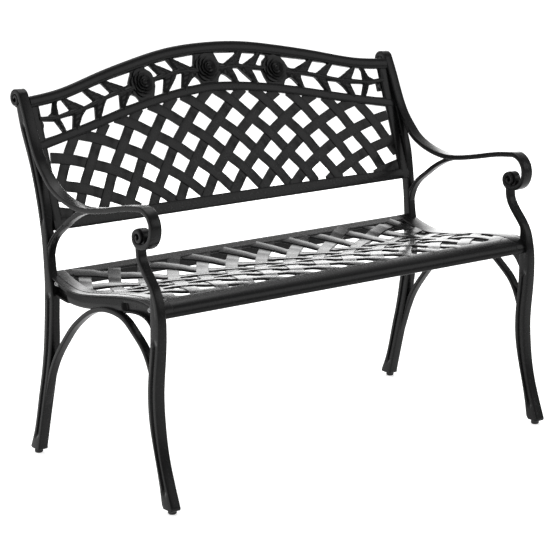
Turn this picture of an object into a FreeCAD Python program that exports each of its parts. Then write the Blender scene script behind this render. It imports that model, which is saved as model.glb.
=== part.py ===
import FreeCAD, Part
import math
import os

# Cast aluminium garden bench for two: two end frames, a woven seat, a woven back with three roses,
# the bolts and washers that join them, and four screw-in levelling feet.
# Millimetres. +X runs along the seat, -Y is the front, +Z is up.
# The origin is on the floor below the middle of the bench.

Vector = FreeCAD.Vector

DRIVING_DIMENSIONS = [
    # Where the main pieces stand
    ("frame_spacing", 994),
    ("depth", 609),
    ("seat_height", 420),
    ("arm_height", 609),
    ("upright_height", 786),
    # End frame castings
    ("frame_thickness", 20),
    ("arm_width", 26),
    ("strap_thickness", 11.5),
    ("nose_radius", 44),
    ("scroll_radius", 23),
    ("roll_radius", 22),
    ("brace_thickness", 9.5),
    ("arch_thickness", 10),
    ("support_thickness", 12),
    ("bar_width", 18),
    ("seat_plate_thickness", 10),
    ("leg_groove_width", 10),
    ("upright_groove_width", 7),
    ("groove_depth", 3.5),
    # Seat casting
    ("seat_wall", 6),
    ("seat_strap_width", 27),
    ("seat_strap_pitch", 62.6),
    ("seat_arc_across", 662),
    ("seat_arc_ahead", 530),
    ("seat_first_arc", 341),
    ("seat_side_rim", 26),
    ("seat_rear_rim", 21),
    ("seat_front_rim", 37),
    ("seat_side_wall_height", 24),
    ("seat_rear_wall_height", 36),
    ("boss_radius", 8),
    ("boss_length", 18),
    # Back casting
    ("back_foot_y", 142),
    ("back_foot_z", 500),
    ("back_lean", 19.5),
    ("back_lower_bow", 15),
    ("back_upper_bow", 29),
    ("back_bow_span", 290),
    ("back_thickness", 7),
    ("back_side_rail", 22),
    ("back_bottom_rail", 22.5),
    ("back_arch_rail", 20),
    ("back_strap_width", 23.2),
    ("back_strap_pitch", 57.9),
    ("back_arc_across", 566),
    ("back_arc_below", 491.5),
    ("back_first_arc", 536),
    ("rose_radius", 32),
    ("rose_crown_radius", 18),
    ("rose_relief", 11),
    ("rose_offset", 181),
    # Lugs that carry the back
    ("lug_reach", 28),
    ("lug_height", 22),
    ("lug_thickness", 8),
    ("lug_bolt_inset", 17),
    ("lower_lug_rise", 20),
    ("upper_lug_rise", 223),
    ("lug_seat", 11),
    # Bolts and washers
    ("bolt_diameter", 6),
    ("bolt_head_diameter", 10.5),
    ("bolt_head_height", 3.3),
    ("bolt_socket_across", 4.6),
    ("bolt_socket_depth", 2),
    ("seat_bolt_length", 26),
    ("back_bolt_length", 16),
    ("bolt_hole_clearance", 0.3),
    ("thread_clearance", 0.05),
    ("washer_diameter", 12),
    ("washer_thickness", 1.5),
    # Levelling feet
    ("pad_diameter", 18),
    ("pad_height", 9),
    ("pad_foot_diameter", 15),
    ("pad_foot_height", 2),
    ("pad_gap", 0.4),
    ("pad_socket_floor", 4),
    ("stud_diameter", 8),
    ("stud_length", 18),
    ("stud_end_gap", 0.3),
    ("stud_hole_spare", 2),
]

# Heights, depth and middle at which the side view below is drawn
DRAWN_FLOOR = 4
DRAWN_SEAT = 424
DRAWN_ARM = 613
DRAWN_TOP = 790
DRAWN_DEPTH = 609
DRAWN_MIDDLE = 15

# Side view of an end frame: (y, z) points of smooth lines, from the floor up or from the rear forwards
REAR_LEG_BACK = [
    (248, 16), (240, 29), (231, 48), (209, 129), (194, 188), (182, 256), (176, 330), (175, 385), (178, 435),
    (184, 490), (192, 530), (201, 566), (213, 606), (226, 642), (239, 670), (255, 705), (269, 748),
]
REAR_LEG_FRONT = [
    (213, 22), (187, 123), (171, 182), (155, 252), (147, 318), (145, 375), (152, 412), (157, 445), (161, 494),
    (166, 530), (174, 571), (188, 612), (203, 655), (220, 698), (236, 733), (252, 765),
]
FRONT_LEG_FRONT = [
    (-289, 18), (-271, 55), (-250, 116), (-238, 185), (-235, 240), (-243, 320), (-247, 365), (-245, 408),
]
FRONT_LEG_BACK = [
    (-252, 20), (-244, 60), (-225, 128), (-211, 187), (-209, 260), (-216, 335), (-216, 375), (-215, 410),
]
FRONT_SUPPORT = [
    (-173, 537), (-174, 522), (-177, 505), (-186, 490), (-203, 471), (-220, 452), (-231, 432), (-237, 405),
    (-238, 380),
]
ARM_STRAP = [
    (257, 778), (235, 733), (220, 699), (205, 669), (190, 646), (170, 624), (146, 603), (118, 589), (80, 578),
    (40, 572.5), (5, 574), (-40, 581), (-90, 591.5), (-140, 602), (-187, 608),
]
BRACE = [
    (-8, 575), (20, 567), (44, 558.5), (64, 548.5), (79, 539.7), (98, 526.5), (113, 516), (134, 500),
    (150, 481), (159, 460), (164, 438),
]
ARCH = [
    (168, 181), (151, 222), (119, 266), (100, 288), (78, 311), (50, 334), (28, 349), (-8, 367), (-50, 377),
    (-86, 377.5), (-119, 370), (-151, 350), (-186, 322), (-203, 297), (-214, 272),
]
SEAT_PLATE_UNDERSIDE = [
    (150, 368), (90, 361), (35, 362), (-40, 373), (-86, 378), (-120, 383), (-155, 384), (-182, 380), (-202, 369),
    (-216, 352),
]
REAR_LEG_GROOVE = [(218, 54), (198.5, 126), (182.5, 185), (169, 254), (162, 319), (160.5, 366)]
UPRIGHT_GROOVE = [(178.5, 535), (187.5, 569), (200, 609), (212, 640), (224, 669), (241, 710)]
FRONT_LEG_GROOVE = [
    (-257.5, 60), (-245, 94), (-230, 156), (-223, 205), (-223, 270), (-229, 330), (-231, 376),
]
SCROLL_CENTRE = (-179, 548.5)
ROLL_CENTRE = (271, 768)
REAR_FOOT_Y = 230
FRONT_FOOT_Y = -272
TOE_HALF_LENGTH = 16

# Side view of the seat's top surface, from the rear rail forwards and down the rolled apron
SEAT_TOP = [
    (168, 414), (132, 403), (101, 396), (71, 392.5), (40, 394), (10, 398), (-21, 403), (-72, 412),
    (-123, 419.5), (-163, 423.5), (-194, 424), (-215, 421),
]
SEAT_APRON = [(-229, 414), (-236, 403), (-237, 394)]
REAR_SEAT_BOLT = (139, 395)
FRONT_SEAT_BOLT = (-206, 407)

# Half width at which the front view of the back below is drawn
DRAWN_BACK_HALF = 487

# Front view of the back: (x, height up the panel) points of the right half, from the middle outwards
TOP_EDGE = [(0, 360), (102, 355), (204, 338), (305, 316.5), (407, 293.5), (487, 286)]
BASE_EDGE = [(0, -4), (200, -3.5), (400, -1.5), (487, 0)]
ARCH_RAIL_LINE = [(0, 259), (45, 257), (140, 246), (240, 228), (337, 207), (440, 187), (487, 178)]
SIDE_ROSE_HEIGHT = 285
MIDDLE_ROSE_HEIGHT = 303
# Openings between the leaves of the vine, above its stem and below it
UPPER_OPENINGS = [
    [(27, 334), (88, 330), (45, 308), (35, 312)],
    [(104, 328), (141, 323), (96, 302), (89, 306)],
    [(153, 321), (168, 317), (155, 307), (149, 294), (134, 299)],
    [(205, 311), (277, 298), (233, 281), (220, 285), (213, 298)],
    [(290, 294), (330, 286), (290, 266), (271, 272)],
    [(344, 284), (397, 274), (349, 250), (320, 259)],
    [(404, 273), (411, 273), (419, 261), (418, 240), (386, 246)],
    [(425, 269), (465, 264), (465, 241), (446, 240), (434, 247)],
]
LOWER_OPENINGS = [
    [(22, 267), (27, 278), (36, 286), (47, 281), (64, 266)],
    [(68, 296), (85, 294), (94, 283), (117, 259), (79, 263)],
    [(120, 288), (147, 284), (150, 270), (157, 253), (131, 258)],
    [(198, 246), (205, 257), (218, 262), (225, 258), (240, 239)],
    [(248, 266), (287, 257), (296, 245), (309, 223), (253, 236)],
    [(319, 246), (346, 241), (359, 229), (372, 209), (324, 219)],
    [(380, 234), (417, 230), (404, 202), (389, 204)],
    [(430, 226), (465, 230), (465, 194), (415, 201)],
]

# Heights of the side view between which the arm strap narrows to clear the back panel's edge
ARM_NARROWS_FROM = 602
ARM_NARROWS_TO = 646

STRIP_STEPS = 24
LATTICE_ARCS = 17
SMALLEST_OPENING = 40
SPARE = 4

document = FreeCAD.newDocument("GardenBench")
sheet = document.addObject("Spreadsheet::Sheet", "Dimensions")
for row, (alias, value) in enumerate(DRIVING_DIMENSIONS, start=1):
    sheet.set(f"A{row}", alias)
    sheet.set(f"B{row}", str(value))
    sheet.setAlias(f"B{row}", alias)
document.recompute()


def size(alias):
    """Driving dimension, in millimetres or degrees."""
    return float(sheet.get(alias))


# Places that follow from the driving dimensions
frame_middle = size("frame_spacing") / 2
frame_inner = frame_middle - size("frame_thickness") / 2
plate_outer = frame_inner + size("seat_plate_thickness")
toe_bottom = size("pad_height") + size("pad_gap")
back_half = frame_inner


def between(value, low, high, low_target, high_target):
    """Straight-line step from one drawn stretch to the wanted one."""
    return low_target + (value - low) * (high_target - low_target) / (high - low)


def side(y, z):
    """Point of the side view, stretched from the drawn heights and depth to the wanted ones."""
    if z <= DRAWN_SEAT:
        height = between(z, DRAWN_FLOOR, DRAWN_SEAT, 0, size("seat_height"))
    elif z <= DRAWN_ARM:
        height = between(z, DRAWN_SEAT, DRAWN_ARM, size("seat_height"), size("arm_height"))
    else:
        height = between(z, DRAWN_ARM, DRAWN_TOP, size("arm_height"), size("upright_height"))
    return Vector(0, (y - DRAWN_MIDDLE) * size("depth") / DRAWN_DEPTH, height)


def across(x):
    """Place across the back, stretched from the drawn half width to the wanted one."""
    return x * back_half / DRAWN_BACK_HALF


def smooth(points):
    """Smooth curve through points."""
    curve = Part.BSplineCurve()
    curve.interpolate(points)
    return curve


def closed_face(edges):
    """Flat face inside a ring of edges."""
    return Part.Face(Part.Wire(Part.__sortEdges__(edges)))


def beside(curve, offset, across):
    """Smooth curve at an even distance beside another, in the plane square to across."""
    walk = []
    for step in range(STRIP_STEPS + 1):
        parameter = between(step, 0, STRIP_STEPS, curve.FirstParameter, curve.LastParameter)
        normal = curve.tangent(parameter)[0].cross(across)
        walk.append(curve.value(parameter) + normal * offset)
    return smooth(walk)


def face_between(first, second):
    """Face between two curves that run the same way."""
    start = Part.makeLine(first.StartPoint, second.StartPoint)
    end = Part.makeLine(first.EndPoint, second.EndPoint)
    return closed_face([first.toShape(), end, second.toShape(), start])


def strip(curve, offsets, across):
    """Band beside a curve, from one offset to the other."""
    return face_between(beside(curve, offsets[0], across), beside(curve, offsets[1], across))


def thicken(face, middle, thickness):
    """Side-view face as a plate of a thickness, centred at middle along X."""
    plate = face.extrude(Vector(thickness, 0, 0))
    plate.translate(Vector(middle - thickness / 2, 0, 0))
    return plate


def side_strip(points, width):
    """Band of an even width along a smooth line of the side view."""
    return strip(smooth([side(*point) for point in points]), (-width / 2, width / 2), Vector(1, 0, 0))


def leg_face(back_points, front_points, toe_middle):
    """Leg between its back and front lines, closed below by a flat toe over the foot."""
    back = smooth([side(*point) for point in back_points])
    front = smooth([side(*point) for point in front_points])
    toe = [side(toe_middle + end * TOE_HALF_LENGTH, DRAWN_FLOOR) for end in (1, -1)]
    for point in toe:
        point.z = toe_bottom
    low, high = sorted((back, front), key=lambda curve: curve.StartPoint.y)
    edges = [back.toShape(), front.toShape(), Part.makeLine(back.EndPoint, front.EndPoint)]
    edges.append(Part.makeLine(high.StartPoint, toe[0]))
    edges.append(Part.makeLine(toe[0], toe[1]))
    edges.append(Part.makeLine(toe[1], low.StartPoint))
    return closed_face(edges)


def disc(centre, radius):
    """Round face in the side view."""
    middle = side(*centre)
    return Part.Face(Part.Wire(Part.makeCircle(radius, middle, Vector(1, 0, 0))))


def nose_face():
    """Front half of the ring that the arm strap bends round before it curls into its scroll."""
    arm_end = side(*ARM_STRAP[-1])
    half = size("strap_thickness") / 2
    middle_radius = size("nose_radius") - half
    centre = arm_end - Vector(0, 0, middle_radius)
    rings = []
    for radius in (middle_radius + half, middle_radius - half):
        top = centre + Vector(0, 0, radius)
        front = centre - Vector(0, radius, 0)
        bottom = centre - Vector(0, 0, radius)
        rings.append(Part.Arc(top, front, bottom).toShape())
    joins = []
    for height in (1, -1):
        outer = centre + Vector(0, 0, height * (middle_radius + half))
        inner = centre + Vector(0, 0, height * (middle_radius - half))
        joins.append(Part.makeLine(outer, inner))
    return closed_face(rings + joins)


def seat_top_curve():
    """Line of the seat's top surface from the rear rail to the apron."""
    return smooth([side(*point) for point in SEAT_TOP])


def seat_plate_face():
    """Plate of the end frame beside the seat, under the line of the seat's rim."""
    below = smooth([side(*point) for point in SEAT_PLATE_UNDERSIDE])
    return face_between(seat_top_curve(), below)


def groove_cutters(points, width):
    """Grooves along a bar, in both of its side faces."""
    depth = size("groove_depth")
    face = side_strip(points, width)
    outer = frame_middle + size("frame_thickness") / 2
    return [thicken(face, outer, 2 * depth), thicken(face, frame_inner, 2 * depth)]


# The back panel's own directions: up the panel, and square to it towards the rear
lean = math.radians(size("back_lean"))
panel_up = Vector(0, math.sin(lean), math.cos(lean))
panel_rear = Vector(0, math.cos(lean), -math.sin(lean))
panel_foot = side(size("back_foot_y") + DRAWN_MIDDLE, size("back_foot_z") + DRAWN_FLOOR)
panel_turn = FreeCAD.Rotation(Vector(1, 0, 0), panel_up, panel_rear * -1)
# Level way to the rear in the drawing of the back, per millimetre square to the panel
level_rear = Vector(0, math.tan(lean), -1)
back_middle_top = TOP_EDGE[0][1]


def panel_point(x, height, rearward=0):
    """Point in the back panel's own directions."""
    return panel_foot + Vector(x, 0, 0) + panel_up * height + panel_rear * rearward


def bow(x, height):
    """How far the back panel bows to the rear at a place of it."""
    most = between(height, 0, size("back_bow_span"), size("back_lower_bow"), size("back_upper_bow"))
    return most * (1 - (x / back_half) ** 2)


def lug_places():
    """Bolt places of the right end frame's two lugs, as (x, height up the panel)."""
    x = frame_inner - size("lug_bolt_inset")
    return [(x, size("lower_lug_rise")), (x, size("upper_lug_rise"))]


def lug_block(height):
    """Lug on the right frame's inner face, behind the back panel."""
    reach = size("lug_reach")
    block = Part.makeBox(reach + size("frame_thickness") / 2, size("lug_height"), size("lug_thickness"))
    rear = size("lug_seat") + size("lug_thickness")
    corner = panel_point(frame_inner - reach, height - size("lug_height") / 2, rear)
    block.Placement = FreeCAD.Placement(corner, panel_turn)
    return block


def seat_bolt_places():
    """Side-view places of the two bolts between an end frame and the seat."""
    return [side(*REAR_SEAT_BOLT), side(*FRONT_SEAT_BOLT)]


def foot_places():
    """Y of the rear and the front foot."""
    return [side(REAR_FOOT_Y, 0).y, side(FRONT_FOOT_Y, 0).y]


def beside_back():
    """Room on the arm strap's inner side for the back panel's edge."""
    low, high, top = (side(0, z).z for z in (ARM_NARROWS_FROM, ARM_NARROWS_TO, DRAWN_TOP))
    edge = frame_middle - size("arm_width") / 2
    corners = [(edge, low), (frame_inner, high), (frame_inner, top + SPARE), (edge - SPARE, top + SPARE)]
    corners += [(edge - SPARE, low), (edge, low)]
    outline = Part.makePolygon([Vector(x, -size("depth"), z) for x, z in corners])
    return Part.Face(outline).extrude(Vector(0, 2 * size("depth"), 0))


def end_frame_shape():
    """Right end frame, one casting."""
    thickness = size("frame_thickness")
    bar = size("bar_width")
    arm = size("arm_width")
    plate = size("seat_plate_thickness")
    bars = [
        thicken(leg_face(REAR_LEG_BACK, REAR_LEG_FRONT, REAR_FOOT_Y), frame_middle, thickness),
        thicken(leg_face(FRONT_LEG_BACK, FRONT_LEG_FRONT, FRONT_FOOT_Y), frame_middle, thickness),
        thicken(side_strip(FRONT_SUPPORT, size("support_thickness")), frame_middle, bar),
        thicken(side_strip(BRACE, size("brace_thickness")), frame_middle, bar),
        thicken(side_strip(ARCH, size("arch_thickness")), frame_middle, bar),
        thicken(side_strip(ARM_STRAP, size("strap_thickness")), frame_middle, arm).cut(beside_back()),
        thicken(nose_face(), frame_middle, arm),
        thicken(disc(SCROLL_CENTRE, size("scroll_radius")), frame_middle, arm),
        thicken(disc(ROLL_CENTRE, size("roll_radius")), frame_middle, arm).cut(beside_back()),
        thicken(seat_plate_face(), frame_inner + plate / 2, plate),
    ]
    for _, height in lug_places():
        bars.append(lug_block(height))
    cutters = groove_cutters(REAR_LEG_GROOVE, size("leg_groove_width"))
    cutters += groove_cutters(FRONT_LEG_GROOVE, size("leg_groove_width"))
    cutters += groove_cutters(UPRIGHT_GROOVE, size("upright_groove_width"))
    hole_radius = size("bolt_diameter") / 2 + size("bolt_hole_clearance")
    for place in seat_bolt_places():
        start = Vector(frame_inner - SPARE, place.y, place.z)
        cutters.append(Part.makeCylinder(hole_radius, thickness + 2 * SPARE, start, Vector(1, 0, 0)))
    for x, height in lug_places():
        start = panel_point(x, height, size("lug_seat") - SPARE)
        cutters.append(Part.makeCylinder(hole_radius, size("lug_thickness") + 2 * SPARE, start, panel_rear))
    stud_radius = size("stud_diameter") / 2 + size("thread_clearance")
    stud_top = size("pad_socket_floor") + size("stud_end_gap") + size("stud_length")
    for y in foot_places():
        hole_top = stud_top + size("stud_hole_spare")
        cutters.append(Part.makeCylinder(stud_radius, hole_top, Vector(frame_middle, y, 0)))
    return bars[0].multiFuse(bars[1:]).removeSplitter().cut(cutters)


def strap_path(centre, radius, width):
    """Flat ring that one lattice strap follows."""
    outer = Part.Face(Part.Wire(Part.makeCircle(radius + width / 2, centre)))
    inner = Part.Face(Part.Wire(Part.makeCircle(radius - width / 2, centre)))
    return outer.cut(inner)


def lattice_openings(region, panel, centre_y):
    """Openings of a flat region crossed by two mirrored families of concentric straps."""
    straps = []
    for direction in (-1, 1):
        centre = Vector(direction * size(f"{panel}_arc_across"), centre_y, 0)
        for step in range(LATTICE_ARCS):
            radius = size(f"{panel}_first_arc") + step * size(f"{panel}_strap_pitch")
            straps.append(strap_path(centre, radius, size(f"{panel}_strap_width")))
    return [face for face in region.cut(straps).Faces if face.Area > SMALLEST_OPENING]


def mirrored_line(points):
    """Smooth line through points of the right half and their mirror images, from left to right."""
    right = [Vector(across(x), y, 0) for x, y in points]
    left = [Vector(-across(x), y, 0) for x, y in points if x > 0]
    return smooth(list(reversed(left)) + right)


def lowered(curve, drop):
    """Copy of a flat curve, moved down the panel."""
    copy = curve.copy()
    copy.translate(Vector(0, -drop, 0))
    return copy


def rose_places():
    """Middles of the three roses, as (x, height up the panel)."""
    offset = across(size("rose_offset"))
    return [(-offset, SIDE_ROSE_HEIGHT), (0, MIDDLE_ROSE_HEIGHT), (offset, SIDE_ROSE_HEIGHT)]


def flat_box(low_x, low_y, high_x, high_y):
    """Flat rectangle in XY."""
    return Part.makePlane(high_x - low_x, high_y - low_y, Vector(low_x, low_y, 0))


def vine_openings():
    """Openings between the leaves, on both halves of the back."""
    faces = []
    for points in UPPER_OPENINGS + LOWER_OPENINGS:
        for hand in (-1, 1):
            corners = [Vector(hand * across(x), height, 0) for x, height in points]
            faces.append(Part.Face(Part.makePolygon(corners + corners[:1])))
    return faces


def under_arch_openings(base):
    """Lattice openings between the bottom rail, the side rails and the arched rail."""
    inside = back_half - size("back_side_rail")
    arch = lowered(mirrored_line(ARCH_RAIL_LINE), size("back_arch_rail") / 2)
    field = flat_box(-inside, size("back_bottom_rail"), inside, back_middle_top)
    return lattice_openings(face_between(arch, base).common(field), "back", -size("back_arc_below"))


def through_back(face):
    """Prism of a flat face of the drawing, level through the whole depth of the back."""
    start = face.copy()
    start.translate(level_rear * -SPARE)
    deepest = bow(0, back_middle_top) + size("back_thickness")
    return start.extrude(level_rear * (deepest + 3 * SPARE))


def bowed_slab(thickness):
    """Slab between the panel's bowed front and rear, taller than the panel."""
    sections = []
    highest = back_middle_top + bow(0, back_middle_top) * math.tan(lean)
    for height in (BASE_EDGE[0][1] - SPARE, highest + SPARE):
        edges = []
        for rearward in (0, thickness):
            ends = [Vector(x, height, -bow(x, height) - rearward) for x in (-back_half, 0, back_half)]
            edges.append(Part.Arc(*ends).toShape())
        for x in (-back_half, back_half):
            edges.append(Part.makeLine(Vector(x, height, 0), Vector(x, height, -thickness)))
        sections.append(Part.Wire(Part.__sortEdges__(edges)))
    return Part.makeLoft(sections, True, True)


def back_panel_shape():
    """Back panel, one casting: bowed lattice, rails, vine and roses, with bolt pads at its sides."""
    thickness = size("back_thickness")
    base = mirrored_line(BASE_EDGE)
    outline = face_between(mirrored_line(TOP_EDGE), base)
    panel = bowed_slab(thickness).common(through_back(outline))
    panel = panel.cut([through_back(face) for face in under_arch_openings(base) + vine_openings()])
    extras = []
    for x, height in rose_places():
        rear = bow(x, height)
        start = Vector(x, height, 0) + level_rear * rear - Vector(0, 0, thickness)
        rise = thickness + size("rose_relief")
        extras.append(Part.makeCone(size("rose_radius"), size("rose_crown_radius"), rise, start))
    tapped = []
    thread_radius = size("bolt_diameter") / 2 + size("thread_clearance")
    for x, height in lug_places():
        pad_rise = size("lug_seat") - bow(x, height)
        for place in (-x, x):
            start = Vector(place, height, -size("lug_seat"))
            extras.append(Part.makeCylinder(size("lug_height") / 2, pad_rise, start))
            tapped.append(Part.makeCylinder(thread_radius, size("lug_seat") + SPARE, start))
    panel = panel.multiFuse(extras).cut(tapped)
    panel.Placement = FreeCAD.Placement(panel_foot, panel_turn)
    return panel


def seat_panel_shape():
    """Seat panel, one casting: curved lattice shell, rolled apron, rear wall, side walls and bolt bosses."""
    length = 2 * frame_inner
    wall = size("seat_wall")
    profile = smooth([side(*point) for point in SEAT_TOP + SEAT_APRON])
    shell = thicken(strip(profile, (0, -wall), Vector(1, 0, 0)), 0, length)
    rear = side(*SEAT_TOP[0])
    rear_wall = size("seat_rear_wall_height")
    rear_wall_low = Vector(-length / 2, rear.y - wall, rear.z - rear_wall)
    pieces = [Part.makeBox(length, wall, rear_wall - wall / 2, rear_wall_low)]
    inside_shell = seat_top_curve()
    inside_shell.translate(Vector(0, 0, -wall / 2))
    wall_foot = seat_top_curve()
    wall_foot.translate(Vector(0, 0, -size("seat_side_wall_height")))
    side_wall = face_between(inside_shell, wall_foot)
    holes = []
    thread_radius = size("bolt_diameter") / 2 + size("thread_clearance")
    for end in (-1, 1):
        inwards = Vector(-end, 0, 0)
        pieces.append(thicken(side_wall, end * (frame_inner - wall / 2), wall))
        for place in seat_bolt_places():
            start = Vector(end * frame_inner, place.y, place.z)
            pieces.append(Part.makeCylinder(size("boss_radius"), size("boss_length"), start, inwards))
            holes.append(Part.makeCylinder(thread_radius, size("boss_length"), start, inwards))
    front = side(*SEAT_APRON[-1]).y
    inside = frame_inner - size("seat_side_rim")
    region = flat_box(-inside, front + size("seat_front_rim"), inside, rear.y - size("seat_rear_rim"))
    openings = lattice_openings(region, "seat", side(-size("seat_arc_ahead"), 0).y)
    cutters = [opening.extrude(Vector(0, 0, 2 * size("seat_height"))) for opening in openings]
    return shell.cut(cutters).multiFuse(pieces).cut(holes)


def add_casting(label, shape):
    """Free-form casting as one object of the document."""
    casting = document.addObject("Part::Feature", label)
    casting.Label = label
    casting.Shape = shape
    return casting


def add_step(body, kind, name, sizes, raised=None):
    """One primitive of a turned piece, with its sizes bound to the sheet."""
    step = body.newObject(f"PartDesign::{kind}", f"{body.Name}_{name}")
    for prop, formula in sizes.items():
        step.setExpression(prop, formula)
    if raised:
        step.setExpression("Placement.Base.z", raised)
    return step


def add_body(label, placement):
    """Empty body of a turned piece."""
    body = document.addObject("PartDesign::Body", label)
    body.Label = label
    body.Placement = placement
    return body


def add_bolt(label, length, placement):
    """Button-head bolt: head above its local origin, shank below it, hexagon socket in the head."""
    body = add_body(label, placement)
    add_step(body, "AdditiveCylinder", "shank",
             {"Radius": "Dimensions.bolt_diameter / 2", "Height": f"Dimensions.{length}"},
             f"-Dimensions.{length}")
    add_step(body, "AdditiveCone", "head",
             {"Radius1": "Dimensions.bolt_head_diameter / 2", "Radius2": "Dimensions.bolt_diameter / 2",
              "Height": "Dimensions.bolt_head_height"})
    add_step(body, "SubtractivePrism", "socket",
             {"Circumradius": "Dimensions.bolt_socket_across / 2", "Height": "Dimensions.bolt_socket_depth"},
             "Dimensions.bolt_head_height - Dimensions.bolt_socket_depth")


def add_washer(label, placement):
    """Flat washer on its local origin."""
    body = add_body(label, placement)
    add_step(body, "AdditiveCylinder", "ring",
             {"Radius": "Dimensions.washer_diameter / 2", "Height": "Dimensions.washer_thickness"})
    add_step(body, "SubtractiveCylinder", "hole",
             {"Radius": "Dimensions.bolt_diameter / 2 + Dimensions.bolt_hole_clearance",
              "Height": "Dimensions.washer_thickness"})


def add_foot_pad(label, placement):
    """Round foot with a narrower sole and a blind socket for its stud."""
    body = add_body(label, placement)
    add_step(body, "AdditiveCone", "sole",
             {"Radius1": "Dimensions.pad_foot_diameter / 2", "Radius2": "Dimensions.pad_diameter / 2",
              "Height": "Dimensions.pad_foot_height"})
    add_step(body, "AdditiveCylinder", "rim",
             {"Radius": "Dimensions.pad_diameter / 2",
              "Height": "Dimensions.pad_height - Dimensions.pad_foot_height"},
             "Dimensions.pad_foot_height")
    add_step(body, "SubtractiveCylinder", "socket",
             {"Radius": "Dimensions.stud_diameter / 2 + Dimensions.thread_clearance",
              "Height": "Dimensions.pad_height - Dimensions.pad_socket_floor"},
             "Dimensions.pad_socket_floor")


def add_foot_stud(label, placement):
    """Threaded stud between a foot pad and the toe above it."""
    body = add_body(label, placement)
    add_step(body, "AdditiveCylinder", "shank",
             {"Radius": "Dimensions.stud_diameter / 2", "Height": "Dimensions.stud_length"},
             "Dimensions.pad_socket_floor + Dimensions.stud_end_gap")


def placed(position, outwards):
    """Placement whose local Z points outwards."""
    return FreeCAD.Placement(position, FreeCAD.Rotation(Vector(0, 0, 1), outwards))


# Castings
right_frame = end_frame_shape()
add_casting("end_frame_right", right_frame)
add_casting("end_frame_left", right_frame.mirror(Vector(0, 0, 0), Vector(1, 0, 0)))
add_casting("seat_panel", seat_panel_shape())
add_casting("back_panel", back_panel_shape())

# Bolts, washers and feet of both ends
washer_thickness = size("washer_thickness")
lug_back = size("lug_seat") + size("lug_thickness")
for end, hand in ((-1, "left"), (1, "right")):
    outwards = Vector(end, 0, 0)
    for place, row_name in zip(seat_bolt_places(), ("rear", "front")):
        seat_face = Vector(end * plate_outer, place.y, place.z)
        add_washer(f"seat_washer_{row_name}_{hand}", placed(seat_face, outwards))
        under_head = placed(seat_face + outwards * washer_thickness, outwards)
        add_bolt(f"seat_bolt_{row_name}_{hand}", "seat_bolt_length", under_head)
    for (x, height), row_name in zip(lug_places(), ("lower", "upper")):
        lug_face = panel_point(end * x, height, lug_back)
        add_washer(f"back_washer_{row_name}_{hand}", placed(lug_face, panel_rear))
        under_head = placed(lug_face + panel_rear * washer_thickness, panel_rear)
        add_bolt(f"back_bolt_{row_name}_{hand}", "back_bolt_length", under_head)
    for y, row_name in zip(foot_places(), ("rear", "front")):
        below_toe = FreeCAD.Placement(Vector(end * frame_middle, y, 0), FreeCAD.Rotation())
        add_foot_pad(f"foot_pad_{row_name}_{hand}", below_toe)
        add_foot_stud(f"foot_stud_{row_name}_{hand}", below_toe)

document.recompute()

pieces = [item for item in document.Objects if item.TypeId in ("Part::Feature", "PartDesign::Body")]
for item in document.Objects:
    if "Invalid" in item.State or "Error" in item.State:
        raise RuntimeError(f"{item.Label} failed: {item.State}")
for piece in pieces:
    if piece.Shape.isNull() or not piece.Shape.isValid():
        raise RuntimeError(f"{piece.Label} has no valid shape")

os.makedirs("parts", exist_ok=True)
for piece in pieces:
    piece.Shape.exportStep(f"parts/{piece.Label}.step")
    box = piece.Shape.BoundBox
    lengths = f"{box.XLength:.1f} x {box.YLength:.1f} x {box.ZLength:.1f}"
    print(f"{piece.Label}: {len(piece.Shape.Solids)} solid, {piece.Shape.Volume:.0f} mm3, {lengths} mm")
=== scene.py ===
"""Looks of a cast aluminium garden bench: woven seat and back, rose vine, scrolled end frames, bolts and feet."""
import logging
import math
from dataclasses import dataclass, field
from enum import Enum
from typing import Sequence

import bpy
import numpy as np
from bpy.types import ID, Material, Mesh, Node, NodeSocket, NodeTree, Object, World, bpy_prop_collection
from mathutils import Euler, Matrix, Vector, geometry


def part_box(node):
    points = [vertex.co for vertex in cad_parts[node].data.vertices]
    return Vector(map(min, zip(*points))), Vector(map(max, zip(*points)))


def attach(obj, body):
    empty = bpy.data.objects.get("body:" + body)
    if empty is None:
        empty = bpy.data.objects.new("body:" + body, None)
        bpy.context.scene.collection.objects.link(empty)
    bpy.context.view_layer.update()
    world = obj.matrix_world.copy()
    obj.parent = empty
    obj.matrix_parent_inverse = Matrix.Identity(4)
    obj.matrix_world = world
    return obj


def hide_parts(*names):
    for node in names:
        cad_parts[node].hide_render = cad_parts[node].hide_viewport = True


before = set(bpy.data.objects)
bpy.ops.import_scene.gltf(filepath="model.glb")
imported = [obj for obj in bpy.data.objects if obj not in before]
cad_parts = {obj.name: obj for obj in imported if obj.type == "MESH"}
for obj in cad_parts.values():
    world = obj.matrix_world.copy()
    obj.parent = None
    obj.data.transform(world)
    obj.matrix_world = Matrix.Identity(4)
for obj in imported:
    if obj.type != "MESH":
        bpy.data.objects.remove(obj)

log = logging.getLogger("garden_bench")

MM = 0.001
Pair = tuple[float, float]
Triple = tuple[float, float, float]
Shape = tuple[np.ndarray, list[tuple[int, ...]]]

# Middle and floor of the drawn side view, in millimetres.
DRAWN_MIDDLE = 15.0
DRAWN_FLOOR = 4.0
# Radius of the small ring that closes a turned shape on its axis.
AXIS = 0.001 * MM
# Angle between faces from which the edge between them is sharp.
SHARP_ANGLE = math.radians(52)
# Bend of the surface that counts as a full edge.
FULL_EDGE = 700
# How steeply a strap goes over and under before it is held flat.
WEAVE_STEEPNESS = 2.2
# White of the studio's glowing surfaces.
WHITE = (1, 1, 1, 1)
# Share of a short side that one rounded corner may take.
CORNER_SHARE = 0.42
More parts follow.
